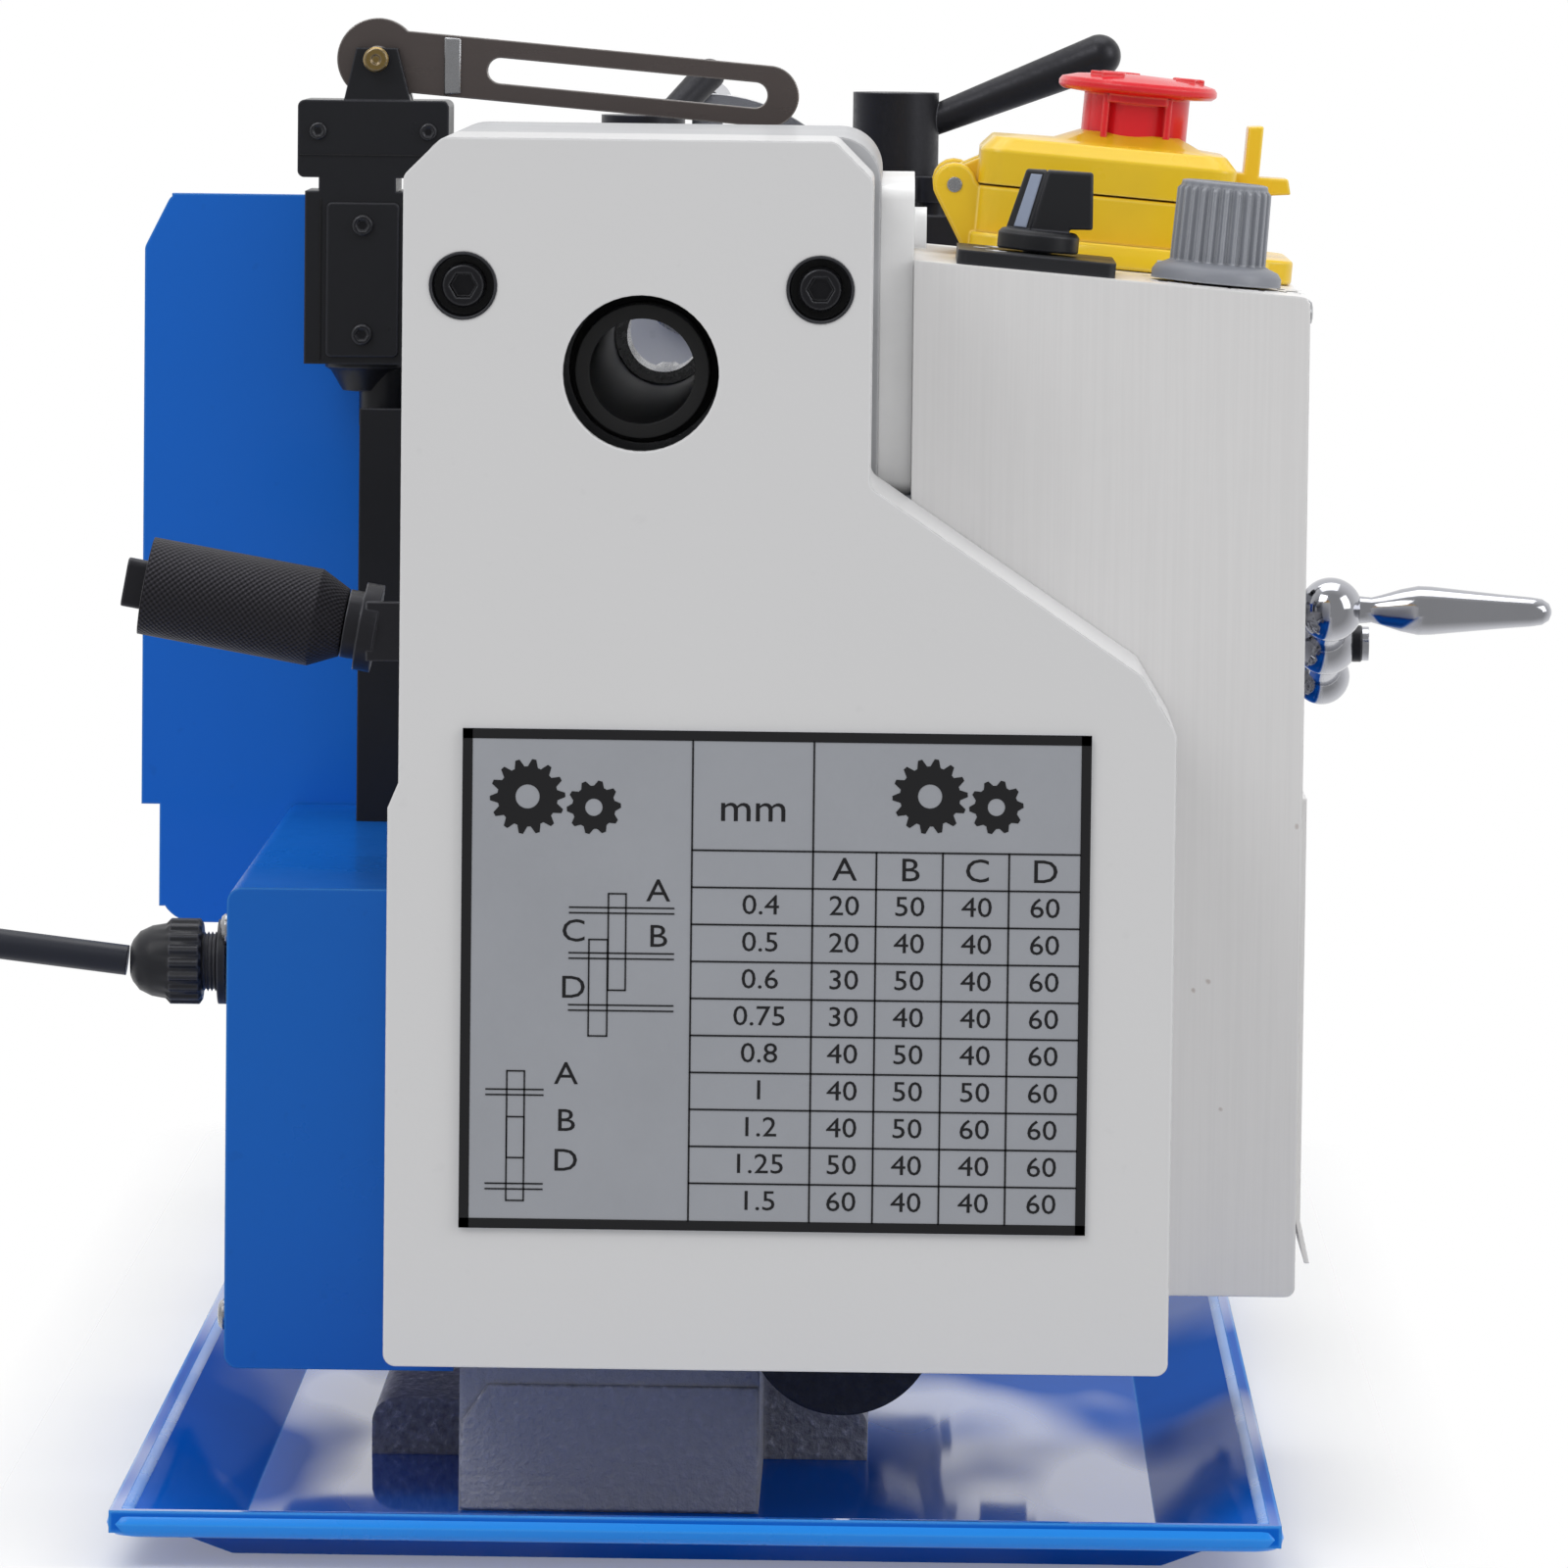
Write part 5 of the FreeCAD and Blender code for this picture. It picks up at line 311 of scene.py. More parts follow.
mat = {
    "cover_paint": enamel("light_grey_stove_enamel", "d6d6d7", 0.42, 0.1, "ececee", 0.03, 0.02),
    "tray_paint": tray_enamel("blue_gloss_enamel_on_sheet", "0a62cc", "50a8f4"),
    # The rim's blue is lighter than the tray's: a painted highlight where the rolled rim catches light from
    # above.
    "rim_blue_lightened_as_highlight": enamel("blue_enamel_rim_lightened_as_highlight", "1689ea", 0.3, 0.2, "50a8f4", 0.01, 0.03),
    "guard_paint": enamel("blue_guard_enamel", "066edb", 0.34, 0.1, "4a98e2"),
    "box_paint": enamel("blue_box_enamel", "0566c6", 0.3, 0.15, "4390d8"),
    "machine_paint": enamel("grey_machine_enamel", "b9babd", 0.42, 0.1, "dcdcde", 0.06),
    # The side plate's own pale aluminium, painted near white as painted light for the shade between cover and
    # box.
    "side_plate": bare_metal(
        "aluminium_plate_lightened_against_shade", "f8f8f8", 0.4, (1, 1, 0.05), 0.03, 0.5, "fdfdfd", metallic=0.05,
    ),
    "stainless": brushed_sheet("brushed_stainless_sheet", "efeeee"),
    "steel": bare_metal("turned_steel", "b4b5b8", 0.26, (0.03, 1, 1), 0.02),
    "spindle_steel": turned_spindle("turned_spindle_steel", "a9abb0", "141416"),
    "ground": bare_metal("ground_cast_iron", "9a9ca0", 0.3, (1, 0.04, 1), 0.02),
    "arm_steel": bare_metal("browned_spring_steel", "6a6260", 0.32, (1, 0.05, 1), 0.02, 0.8, "c4bfbc", 0.8),
    "black_steel": bare_metal("blackened_steel", "2b2b30", 0.42, (1, 1, 1), 0.03, 0.5, "77787e", 0.6),
    "screw_steel": bare_metal("black_oxide_screw_steel", "26262a", 0.35, (1, 1, 1), 0.02, 0.5, "7c7d82", 0.7),
    "chrome": bare_metal("polished_chrome_plate", "bfc0c6", 0.1, (1, 1, 1), 0.002, 0.3),
    "brass": bare_metal("turned_brass", "9a8250", 0.3),
    "casting": sand_casting("grey_painted_casting", "acabae", "d0d0d4"),
    "dark_casting": sand_casting("dark_painted_casting", "2a2a2e", "48484d"),
    "black_plastic": moulded("black_moulded_plastic", "1c1d21", 0.42, edge_wear_and_highlight_code="4a4b51"),
    "switch_plastic": moulded("black_switch_case_plastic", "191a1f", 0.32, 1.4, 0.03, "45464d"),
    "grey_plastic": moulded("grey_knob_plastic", "84878f", 0.42, edge_wear_and_highlight_code="b4b7be"),
    "inlay": moulded("pale_inlay_plastic", "98a3ba", 0.35),
    "yellow_plastic": moulded("yellow_moulded_plastic", "f2c824", 0.3, 2.0, 0.01, "ffe27a", 0.04, 0.2),
    "red_plastic": moulded("red_moulded_plastic", "e21c2a", 0.3, 2.0, 0.01, "f06a6a", 0.04, 0.2),
    "gland_plastic": moulded("black_nylon", "232429", 0.36, edge_wear_and_highlight_code="55565d"),
    "cord_rubber": moulded("dark_cord_sheath_rubber", "252833", 0.4, 0.8, 0.02),
    "belt_rubber": moulded("black_belt_rubber", "151517", 0.6),
    # Gear steel darker than the turned steel: painted shade for the gears that sit in the dark inside the
    # cover.
    "gear_steel": bare_metal("gear_steel_darkened_as_shade", "6c6d70", 0.34, (0.05, 1, 1)),
    "label_field": bare_metal("printed_foil", "abaeb5", 0.46, (0.05, 1, 1), 0.005, 0.0, "a9acb3", 0.25),
    "label_ink": moulded("black_printing_ink", "19191c", 0.45, 1.1, 0.002),
    "pale_ink": moulded("white_printing_ink", "d8d9dc", 0.5, 1.1, 0.002),
    "knurl": knurled("knurled_black_steel", "2c2b30", KNEE, -LEVER_LEAN, 1.2),
}

dress = {
    "cover_paint": ["end_cover"],
    "tray_paint": ["chip_tray"],
    "guard_paint": ["splash_guard"],
    "box_paint": ["rear_box"],
    "machine_paint": ["headstock", "apron", "tailstock_body"],
    "side_plate": ["side_plate"],
    "stainless": ["control_box"],
    "spindle_steel": ["spindle"],
    "steel": [
        "chuck_body", "chuck_scroll", "chuck_jaw_1", "chuck_jaw_2", "chuck_jaw_3",
        "leadscrew", "rack_pinion", "tailstock_quill", "motor_rotor",
    ],
    "gear_steel": ["spindle_gears", "tumbler_gear_1", "tumbler_gear_2", "stud_gears", "banjo_gears"],
    "ground": ["half_nut_upper", "half_nut_lower", "cross_slide", "compound_base", "compound_slide"],
    "arm_steel": ["guard_arm"],
    "black_steel": ["tumbler_bracket", "tool_post", "tool_post_lever", "quill_lock_lever"],
    "knurl": ["plunger_knob"],
    "screw_steel": ["cover_screws"],
    "chrome": [
        "apron_handwheel", "half_nut_lever", "cross_slide_crank", "crank_handle", "compound_crank",
        "tailstock_handwheel",
    ],
    "casting": ["bed", "leadscrew_brackets", "saddle"],
    "dark_casting": ["gear_banjo", "motor"],
    "black_plastic": ["switch_plate", "direction_knob"],
    "switch_plastic": ["guard_switch"],
    "grey_plastic": ["speed_knob"],
    "yellow_plastic": ["estop_base", "estop_lid"],
    "red_plastic": ["estop_button"],
    "gland_plastic": ["cable_gland", "mains_plug"],
    "cord_rubber": ["power_cord", "cord_coil"],
    "belt_rubber": ["drive_belt"],
    "label_field": ["gear_chart_plate"],
}
for key, names in dress.items():
    for name in names:
        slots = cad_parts[name].data.materials
        slots.clear()
        slots.append(mat[key])


# Shape helpers: a form is its points in mm and its faces

SIDES = {
    "left": ((0, -1, 0), (0, 0, 1)), "right": ((0, 1, 0), (0, 0, 1)), "front": ((1, 0, 0), (0, 0, 1)),
    "rear": ((-1, 0, 0), (0, 0, 1)), "above": ((1, 0, 0), (0, 1, 0)),
}


def facing(side, x, y, z):
    """Frame at a place: its x runs right and its y up for someone who looks at that side."""
    right, up = (Vector(v) for v in SIDES[side])
    turn = Matrix((right, up, right.cross(up))).transposed().to_4x4()
    return Matrix.Translation((x, y, z)) @ turn


BOX_TOP = Matrix.Translation((-287.7, -53.9, 259.7)) @ Matrix.Rotation(math.radians(4.7), 4, "X")


def on_box_top(along, out, up):
    """Frame on the sloping top of the control box."""
    return BOX_TOP @ Matrix.Translation((along, -out, up))


def loft(rings, closed=True, capped=True):
    """Skin over rings of equal length."""
    count = len(rings[0])
    points = [Vector(p) for ring_points in rings for p in ring_points]
    faces = []
    for start in range(0, (len(rings) - 1) * count, count):
        for j in range(count if closed else count - 1):
            k = (j + 1) % count
            faces.append((start + j, start + k, start + count + k, start + count + j))
    if capped:
        faces.append(tuple(range(count)))
        faces.append(tuple(range(len(points) - count, len(points))))
    return points, faces


def ring(radius, height, steps=48, sides=0, grooves=0, depth=0.0):
    """Circle round local Z, a polygon with that many sides, or a circle cut by grooves."""
    points = []
    for i in range(steps):
        angle = math.tau * i / steps
        reach = radius
        if sides:
            half = math.pi / sides
            reach *= math.cos(half) / math.cos(angle % (2 * half) - half)
        if grooves and (i * 2 * grooves // steps) % 2:
            reach -= depth
        points.append((reach * math.cos(angle), reach * math.sin(angle), height))
    return points


def turned(profile, steps=48, capped=True):
    """Body of revolution round local Z from (radius, height) pairs."""
    return loft([ring(radius, height, steps) for radius, height in profile], capped=capped)


def ribbed(profile, count, depth):
    """Body of revolution whose (radius, height, ribbed) rings can carry square ribs."""
    rings = []
    for radius, height, has_ribs in profile:
        rings.append(ring(radius, height, 4 * count, grooves=count if has_ribs else 0, depth=depth))
    return loft(rings)


def moved(form, place):
    """Form set in a frame."""
    points, faces = form
    return [place @ Vector(p) for p in points], faces


def rounded(x, y, radius, steps=6):
    """Rectangle with round corners, anticlockwise."""
    outline = []
    for i, (side_x, side_y) in enumerate(((1, 1), (-1, 1), (-1, -1), (1, -1))):
        middle_x = x[1] - radius if side_x > 0 else x[0] + radius
        middle_y = y[1] - radius if side_y > 0 else y[0] + radius
        for step in range(steps + 1):
            angle = math.radians(90 * (i + step / steps))
            outline.append((middle_x + radius * math.cos(angle), middle_y + radius * math.sin(angle)))
    return outline


def level(outline, height):
    """Outline lifted to a height."""
    return [(x, y, height) for x, y in outline]


def round_as(outline, radius, centre):
    """Circle with one point in the direction of each point of an outline."""
    points = []
    for x, y in outline:
        angle = math.atan2(y - centre[1], x - centre[0])
        points.append((centre[0] + radius * math.cos(angle), centre[1] + radius * math.sin(angle)))
    return points


def prism(outline, low, high, axis="z"):
    """Outline drawn between two heights along an axis."""
    order = {"x": (2, 0, 1), "y": (0, 2, 1), "z": (0, 1, 2)}[axis]
    rings = []
    for height in (low, high):
        rings.append([[(u, v, height)[i] for i in order] for u, v in outline])
    return loft(rings)


def block(x, y, z):
    """Box between two places on each axis."""
    return prism([(x[0], y[0]), (x[1], y[0]), (x[1], y[1]), (x[0], y[1])], *z)


def arc(centre, radius, start, end, steps=10):
    """Points of an arc, its angles in degrees."""
    angles = [math.radians(start + (end - start) * i / steps) for i in range(steps + 1)]
    return [(centre[0] + radius * math.cos(a), centre[1] + radius * math.sin(a)) for a in angles]


def cap_screw(radius, height):
    """Socket head: chamfered rim and a hexagon recess."""
    rim = height - 0.12 * radius
    rings = [ring(radius, 0, 24), ring(radius, rim, 24), ring(0.88 * radius, height, 24)]
    rings += [ring(0.62 * radius, height, 24, 6), ring(0.58 * radius, 0.45 * height, 24, 6)]
    return loft(rings)


def pan_screw(radius):
    """Low domed head of a sheet screw, with a hexagon recess."""
    rings = [ring(radius, 0, 24), ring(radius, 0.25 * radius, 24), ring(0.8 * radius, 0.5 * radius, 24)]
    rings += [ring(0.5 * radius, 0.58 * radius, 24, 6), ring(0.45 * radius, 0.2 * radius, 24, 6)]
    return loft(rings)


def lettering(words, place, stretch=1.0):
    """Flat printed characters: each (text, across, up, size) is centred on its place."""
    forms = []
    for text, across, up, size in words:
        curve = bpy.data.curves.new("print", "FONT")
        curve.body = text
        curve.size = size
        curve.resolution_u = 3
        curve.align_x = "CENTER"
        curve.align_y = "CENTER"
        holder = bpy.data.objects.new("print", curve)
        mesh = bpy.data.meshes.new_from_object(holder)
        points = [place @ Vector((across + v.co.x * stretch, up + v.co.y, 0)) for v in mesh.vertices]
        forms.append((points, [tuple(face.vertices) for face in mesh.polygons]))
        bpy.data.objects.remove(holder)
        bpy.data.curves.remove(curve)
        bpy.data.meshes.remove(mesh)
    return forms


def piece(name, body, finish, forms, place=None, edge=0.0, replaces=()):
    """Mesh piece from forms in mm, with its edge rounding, body and finish."""
    shape = bmesh.new()
    for points, faces in forms:
        made = [shape.verts.new(p) for p in points]
        for face in faces:
            shape.faces.new([made[i] for i in face])
    bmesh.ops.recalc_face_normals(shape, faces=shape.faces)
    mesh = bpy.data.meshes.new(name)
    shape.to_mesh(mesh)
    shape.free()
    mesh.transform(Matrix.Scale(MM, 4) @ (place or Matrix()))
    mesh.shade_smooth()
    mesh.set_sharp_from_angle(angle=math.radians(35))
    mesh.materials.append(mat[finish])
    made = bpy.data.objects.new(name, mesh)
    scene.collection.objects.link(made)
    if edge:
        bevel = made.modifiers.new("edge", "BEVEL")
        bevel.width = edge * MM
        bevel.segments = 2
        bevel.angle_limit = math.radians(40)
    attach(made, body)
    if replaces:
        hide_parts(*replaces)
    return made


# The lead, with its radius in mm: one smooth line from the gland to the plug

CORD = 3.15
COIL_X, COIL_Y, COIL_MID, COIL_TURNS = -226, 250, 35, 7
COIL_PITCH, COIL_LIFT, PER_TURN = 6.9, 0.6, 24


def coil_point(turn, spread=1.0):
    """Centre line of the coil in mm after so many turns: in, up a layer, out."""
    radius = COIL_MID + COIL_TURNS * COIL_PITCH / 4 - min(turn, COIL_TURNS - turn) * COIL_PITCH
    climb = min(1, max(0, 2 * turn - COIL_TURNS + 0.5))
    rise = CORD + (2 * CORD + COIL_LIFT) * (1 - math.cos(math.pi * climb)) / 2
    angle = math.pi - math.tau * turn
    reach = radius * spread
    return Vector((COIL_X + reach * math.cos(angle), COIL_Y + reach * math.sin(angle), rise))


def make_cord():
    """Lead as one NURBS line: the free stretch, the coil and the tail to the plug."""
    heading = Vector((0, 1, 0))
    route = [
        (-268, 106.9, 112.4), (-268, 124, 114.4), (-268.4, 146, 117), (-269.2, 168, 102),
        (-270.4, 181, 74), (-271.6, 186, 46), (-272.6, 196, 17),
    ]
    points = [Vector(p) for p in route]
    start = coil_point(0)
    points += [start - heading * (2 * CORD + 22), start - heading * 2 * CORD]
    spread = 1 / math.cos(math.pi / PER_TURN)
    points += [coil_point(i / PER_TURN, spread) for i in range(1, COIL_TURNS * PER_TURN)]
    end = coil_point(COIL_TURNS)
    points += [end, end + heading * 23]
    curve = bpy.data.curves.new("mains_lead", "CURVE")
    curve.dimensions = "3D"
    curve.bevel_depth = CORD * MM
    curve.bevel_resolution = 6
    curve.resolution_u = 5
    curve.use_fill_caps = True
    line = curve.splines.new("NURBS")
    line.points.add(len(points) - 1)
    for spot, at in zip(line.points, points):
        spot.co = (*(at * MM), 1)
    line.order_u = 3
    line.use_endpoint_u = True
    lead = bpy.data.objects.new("mains_lead", curve)
    scene.collection.objects.link(lead)
    curve.materials.append(mat["cord_rubber"])
    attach(lead, "frame")
    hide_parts("power_cord", "cord_coil")
    return lead


def make_gland():
    """Cable gland: flange, threaded neck, ribbed nut and a dome that narrows onto the lead."""
    profile = [
        (8.8, 0, 0), (8.8, 1.7, 0), (5.7, 1.7, 0), (5.7, 5, 0), (8.0, 5, 0), (8.9, 5.6, 1), (8.9, 11.6, 1),
        (7.8, 12.6, 0), (7.3, 15.5, 0), (6.1, 18.0, 0), (4.4, 19.4, 0), (3.3, 19.9, 0),
    ]
    threads = []
    for i in range(4):
        threads.append(turned([(5.5, 1.9 + 0.8 * i), (6.2, 2.3 + 0.8 * i), (5.5, 2.7 + 0.8 * i)], 32))
    place = facing("rear", -268, 86.3, 112.4)
    return piece("ribbed_cable_gland", "frame", "gland_plastic", [ribbed(profile, 18, 0.7)] + threads, place,
                 replaces=("cable_gland",))


lead = make_cord()
gland = make_gland()


# End cover: screw recesses, cap screws and the change-gear chart

COVER_FACE, CHART_FACE = -345, -345.86
SCREW_Y, SCREW_Z = (35.4, -35.4), 255.5


def make_cover_fittings():
    """Black cups that make the screw recesses dark, and the socket screws that hold the cover."""
    cup = [(6.6, -6.2), (6.75, 0.25), (6.2, 0.25), (6.0, -5.6), (0.5, -5.6)]
    cups, screws = [], []
    for y in SCREW_Y:
        cups.append(moved(turned(cup), facing("left", COVER_FACE, y, SCREW_Z)))
        screws.append(moved(cap_screw(4.5, 5), facing("left", -339.2, y, SCREW_Z)))
        screws.append(moved(turned([(2.1, 0), (2.1, 54)], 24), facing("right", -339, y, SCREW_Z)))
    piece("cover_screw_recesses", "frame", "black_plastic", cups)
    piece("cover_cap_screws", "frame", "screw_steel", screws, replaces=("cover_screws",))


CHART_ROWS = [
    ("0.4", "20", "50", "40", "60"), ("0.5", "20", "40", "40", "60"), ("0.6", "30", "50", "40", "60"),
    ("0.75", "30", "40", "40", "60"), ("0.8", "40", "50", "40", "60"), ("1", "40", "50", "50", "60"),
    ("1.2", "40", "50", "60", "60"), ("1.25", "50", "40", "40", "60"), ("1.5", "60", "40", "40", "60"),
]
CHART_COLUMNS = (59.6, 76.2, 89.2, 102.6, 116.1)
CHART_WIDE, CHART_HIGH, CHART_BORDER, CHART_PITCH = 125, 100, 2.0, 7.41
CHART_HEAD, CHART_FIRST = 27.5, 34.75


def rule(across, down, width=0.35):
    """Printed line between two places of the chart, measured from its top left corner."""
    half = width / 2
    return block((across[0] - half, across[1] + half), (-down[1] - half, -down[0] + half), (0, 0.06))


def frame_of(across, down):
    """Thin printed rectangle."""
    sides = [(across, (d, d)) for d in down] + [((a, a), down) for a in across]
    return [rule(*side, width=0.3) for side in sides]


def gear_sign(across, down, radius, teeth):
    """Printed gear ring with square teeth."""
    outer = ring(radius, 0.03, 4 * teeth, grooves=teeth, depth=0.2 * radius)
    inner = ring(0.32 * radius, 0.03, 4 * teeth)
    place = Matrix.Translation((across, -down, 0))
    return moved(loft([outer, inner], capped=False), place)


def make_chart():
    """Change-gear chart: border, table, numbers and gear signs, all of its own wording."""
    place = facing("left", CHART_FACE, 34.6, 167.7)
    wide, high, border = CHART_WIDE, CHART_HIGH, CHART_BORDER
    lines = [rule((1, wide - 1), (d, d), border) for d in (1, high - 1)]
    lines += [rule((a, a), (1, high - 1), border) for a in (1, wide - 1)]
    lines += [rule((a, a), (border, high - border)) for a in (45.8, 69.9)]
    top = CHART_HEAD - CHART_PITCH / 2
    lines += [rule((a, a), (top, high - border)) for a in (82.5, 95.7, 108.9)]
    for row in range(10):
        down = top + CHART_PITCH * row
        lines.append(rule((45.8, wide - border), (down, down)))
    words = [("mm", 57.9, -15.5, 8.0)]
    for letter, across in zip("ABCD", CHART_COLUMNS[1:]):
        words.append((letter, across, -CHART_HEAD, 6.6))
    for row, values in enumerate(CHART_ROWS):
        for text, across in zip(values, CHART_COLUMNS):
            words.append((text, across, -(CHART_FIRST + CHART_PITCH * row), 5.6))
    for down in (35.5, 44.6, 55.0):
        lines += [rule((21.6, 42.3), (down + gap, down + gap), 0.3) for gap in (0, 1.1)]
    for down in (72.1, 91.0):
        lines += [rule((5.3, 16.6), (down + gap, down + gap), 0.3) for gap in (0, 1.1)]
    lines += frame_of((29.3, 32.8), (32.7, 52.0)) + frame_of((25.5, 29.2), (41.9, 61.2))
    lines += frame_of((9.4, 12.9), (68.4, 94.4)) + frame_of((9.4, 12.9), (77.6, 85.8))
    letters = (
        ("A", 39.2, 32.2), ("C", 22.4, 40.4), ("B", 39.2, 41.3), ("D", 22.4, 51.7),
        ("A", 21.2, 69.0), ("B", 21.2, 78.4), ("D", 21.2, 86.4),
    )
    words += [(letter, across, -down, 6.4) for letter, across, down in letters]
    signs = [gear_sign(13, 13.5, 7.5, 14), gear_sign(26.2, 15.5, 5.4, 10)]
    signs += [gear_sign(93, 12.5, 7.5, 14), gear_sign(106.2, 14.5, 5.4, 10)]
    piece("chart_lines", "frame", "label_ink", lines, place)
    piece("chart_numbers", "frame", "label_ink", lettering(words, Matrix(), 1.12), place)
    piece("chart_gear_signs", "frame", "label_ink", signs, place)


make_cover_fittings()
make_chart()


# Stop switch on the box top

# Places on the box top in mm: along from the cover's end, out towards the operator, up from the sheet
STOP_ALONG, BUTTON_OUT = 88.0, 44.1
LID_ALONG, LID_OUT = (62.0, 114.0), (12.0, 66.0)
HINGE_OUT, HINGE_UP = 7.2, 14.5


def make_stop_base():
    """Yellow plinth with a smaller upper part and two hinge ears."""
    plinth = rounded((58, 118), (-79.4, -11.4), 6)
    upper = rounded(LID_ALONG, (-LID_OUT[1], -LID_OUT[0]), 5)
    forms = [
        loft([level(plinth, 0.2), level(plinth, 4.6), level(plinth, 5.2)]),
        loft([level(upper, 5.0), level(upper, 15.0)]),
    ]
    ear = [(-14, 0.5), (-10.5, 0.5)] + arc((-HINGE_OUT, HINGE_UP), 4.6, -40, 165) + [(-14, 13.5)]
    for low in (65.0, 104.0):
        forms.append(prism(ear, low, low + 7, "x"))
    piece("stop_switch_base", "frame", "yellow_plastic", forms, BOX_TOP, 0.7, ("estop_base",))
    pin = moved(turned([(1.6, 0), (1.6, 47.4)], 24), facing("right", 64.8, -HINGE_OUT, HINGE_UP))
    piece("stop_switch_hinge_pin", "frame", "steel", [pin], BOX_TOP)


def make_stop_lid():
    """Hinged lid: rounded box with sloping shoulders, an open collar and a latch."""
    outer = rounded(LID_ALONG, (-LID_OUT[1], -LID_OUT[0]), 5)
    shoulder = rounded((64.5, 111.5), (-63.5, -14.5), 5)
    inner = rounded((64.4, 111.6), (-63.6, -14.4), 3)
    middle = (STOP_ALONG, -BUTTON_OUT)
    rings = [
        level(outer, 15.4), level(outer, 22.6), level(shoulder, 25.4),
        level(round_as(outer, 19.9, middle), 25.9), level(round_as(outer, 13.2, middle), 28.2),
        level(round_as(outer, 11.7, middle), 28.2), level(round_as(outer, 11.7, middle), 23.6),
        level(inner, 22.4), level(inner, 15.4),
    ]
    body = loft(rings + rings[:1], capped=False)
    forms = [body]
    for low in (73.0, 96.0):
        barrel = turned([(3.4, 0), (3.4, 7)], 24)
        forms.append(moved(barrel, facing("right", low, -HINGE_OUT, HINGE_UP)))
        strap = [(-HINGE_OUT, 11.6), (-HINGE_OUT, 17.9), (-13, 21), (-13, 15.6)]
        forms.append(prism(strap, low, low + 7, "x"))
    latch = [(-66.0, 17.5), (-66.0, 22.2), (-68.0, 22.2), (-68.0, 32.0), (-71.2, 32.4), (-71.2, 21.6),
             (-77.4, 21.8), (-78.2, 18.6), (-70.0, 17.5)]
    forms.append(prism(latch, 81.0, 95.0, "x"))
    piece("stop_switch_lid", "estop_lid", "yellow_plastic", forms, BOX_TOP, 0.5, ("estop_lid",))


def make_stop_button():
    """Red push button: neck with ribs and tab, thin crowned disc, small raised arrows."""
    neck = turned([(11.2, 20.5), (11.2, 36.8)])
    disc = turned([
        (11.4, 36.2), (15.8, 36.6), (16.8, 37.3), (16.8, 38.4),
        (16.2, 39.2), (13.0, 40.0), (7.0, 40.5), (1.0, 40.7),
    ])
    forms = [neck, disc]
    for across in (-6.6, 6.6):
        rib = block((-11.9, -10.0), (across - 0.7, across + 0.7), (27.0, 36.4))
        forms += [rib, moved(rib, Matrix.Rotation(math.pi, 4, "Z"))]
    tab = block((-12.6, -10.5), (-6.2, 6.2), (34.6, 36.9))
    forms += [tab, moved(tab, Matrix.Rotation(math.pi, 4, "Z"))]
    for turn in range(3):
        arrow = [(8.4, -3.6), (12.6, -3.2), (12.4, 1.2), (14.0, 1.0), (10.6, 4.6), (6.8, 1.9), (8.6, 1.6)]
        form = prism(arrow, 39.4, 40.9)
        forms.append(moved(form, Matrix.Rotation(math.radians(120 * turn + 20), 4, "Z")))
    place = on_box_top(STOP_ALONG, BUTTON_OUT, 0)
    piece("stop_switch_button", "estop_button", "red_plastic", forms, place, 0.25, ("estop_button",))


# Knobs

DIRECTION_ALONG, DIRECTION_OUT = 26.0, 25.2
SPEED_ALONG, SPEED_OUT = 26.0, 62.4
PLATE_UP = 3.0


def make_direction_knob():
    """Pointer knob: round base and a bar whose rear end narrows, with a pale inlay."""
    x = -261.7
    base = turned([(8.4, 3.5), (8.4, 6.8), (7.6, 7.8)])
    base = moved(base, on_box_top(DIRECTION_ALONG, DIRECTION_OUT, 0))
    top_break, low_break = (-81.2, 277.8), (-77.5, 264.5)
    bar = [top_break, (-90.6, 277.3), (-90.6, 265.6), (-85.8, 265.6), (-85.8, 264.4), low_break]
    bar = prism(bar, x - 3.6, x + 3.6, "x")
    top_tip, low_tip = (-76.9, 278.0), (-72.5, 265.0)

    def taper(share, across, half):
        """Place on the tapered end: share from break to tip, across from top to bottom."""
        top = [a + (b - a) * share for a, b in zip(top_break, top_tip)]
        low = [a + (b - a) * share for a, b in zip(low_break, low_tip)]
        y, z = (a + (b - a) * across for a, b in zip(top, low))
        return (x + half, y, z)

    corners = [(0, 0), (0, 1), (1, 1), (1, 0)]
    near = [taper(s, a, -3.6 + 2.7 * s) for s, a in corners]
    far = [taper(s, a, 3.6 - 2.7 * s) for s, a in corners]
    piece("direction_pointer_knob", "direction_knob", "black_plastic", [base, bar, loft([near, far])],
          None, 0.45, ("direction_knob",))
    strip = [(0.2, 0.07), (0.2, 0.9), (0.72, 0.9), (0.72, 0.07)]
    forms = []
    for side in (-1, 1):
        inner = [taper(s, a, side * (3.5 - 2.7 * s)) for s, a in strip]
        outer = [taper(s, a, side * (3.85 - 2.7 * s)) for s, a in strip]
        forms.append(loft([inner, outer]))
    piece("direction_pointer_inlay", "direction_knob", "inlay", forms, None, 0.1)


def make_speed_knob():
    """Fluted knob on a sloping skirt, with a dished cap."""
    profile = [
        (13.4, 0.5, 0), (13.4, 2.2, 0), (12.6, 3.4, 0), (10.6, 4.2, 0), (9.9, 4.6, 1), (9.7, 19.3, 1),
        (9.0, 20.0, 0), (8.8, 21.0, 0), (7.9, 21.2, 0), (7.5, 20.2, 0),
    ]
    place = on_box_top(SPEED_ALONG, SPEED_OUT, 0)
    piece("speed_fluted_knob", "speed_knob", "grey_plastic", [ribbed(profile, 24, 1.0)], place,
          replaces=("speed_knob",))
    mark = block((-0.6, 0.6), (5.0, 12.4), (3.2, 3.9))
    cap = block((-0.5, 0.5), (1.0, 7.2), (20.1, 20.5))
    piece("speed_knob_mark", "speed_knob", "pale_ink", [cap, mark], place, 0.1)


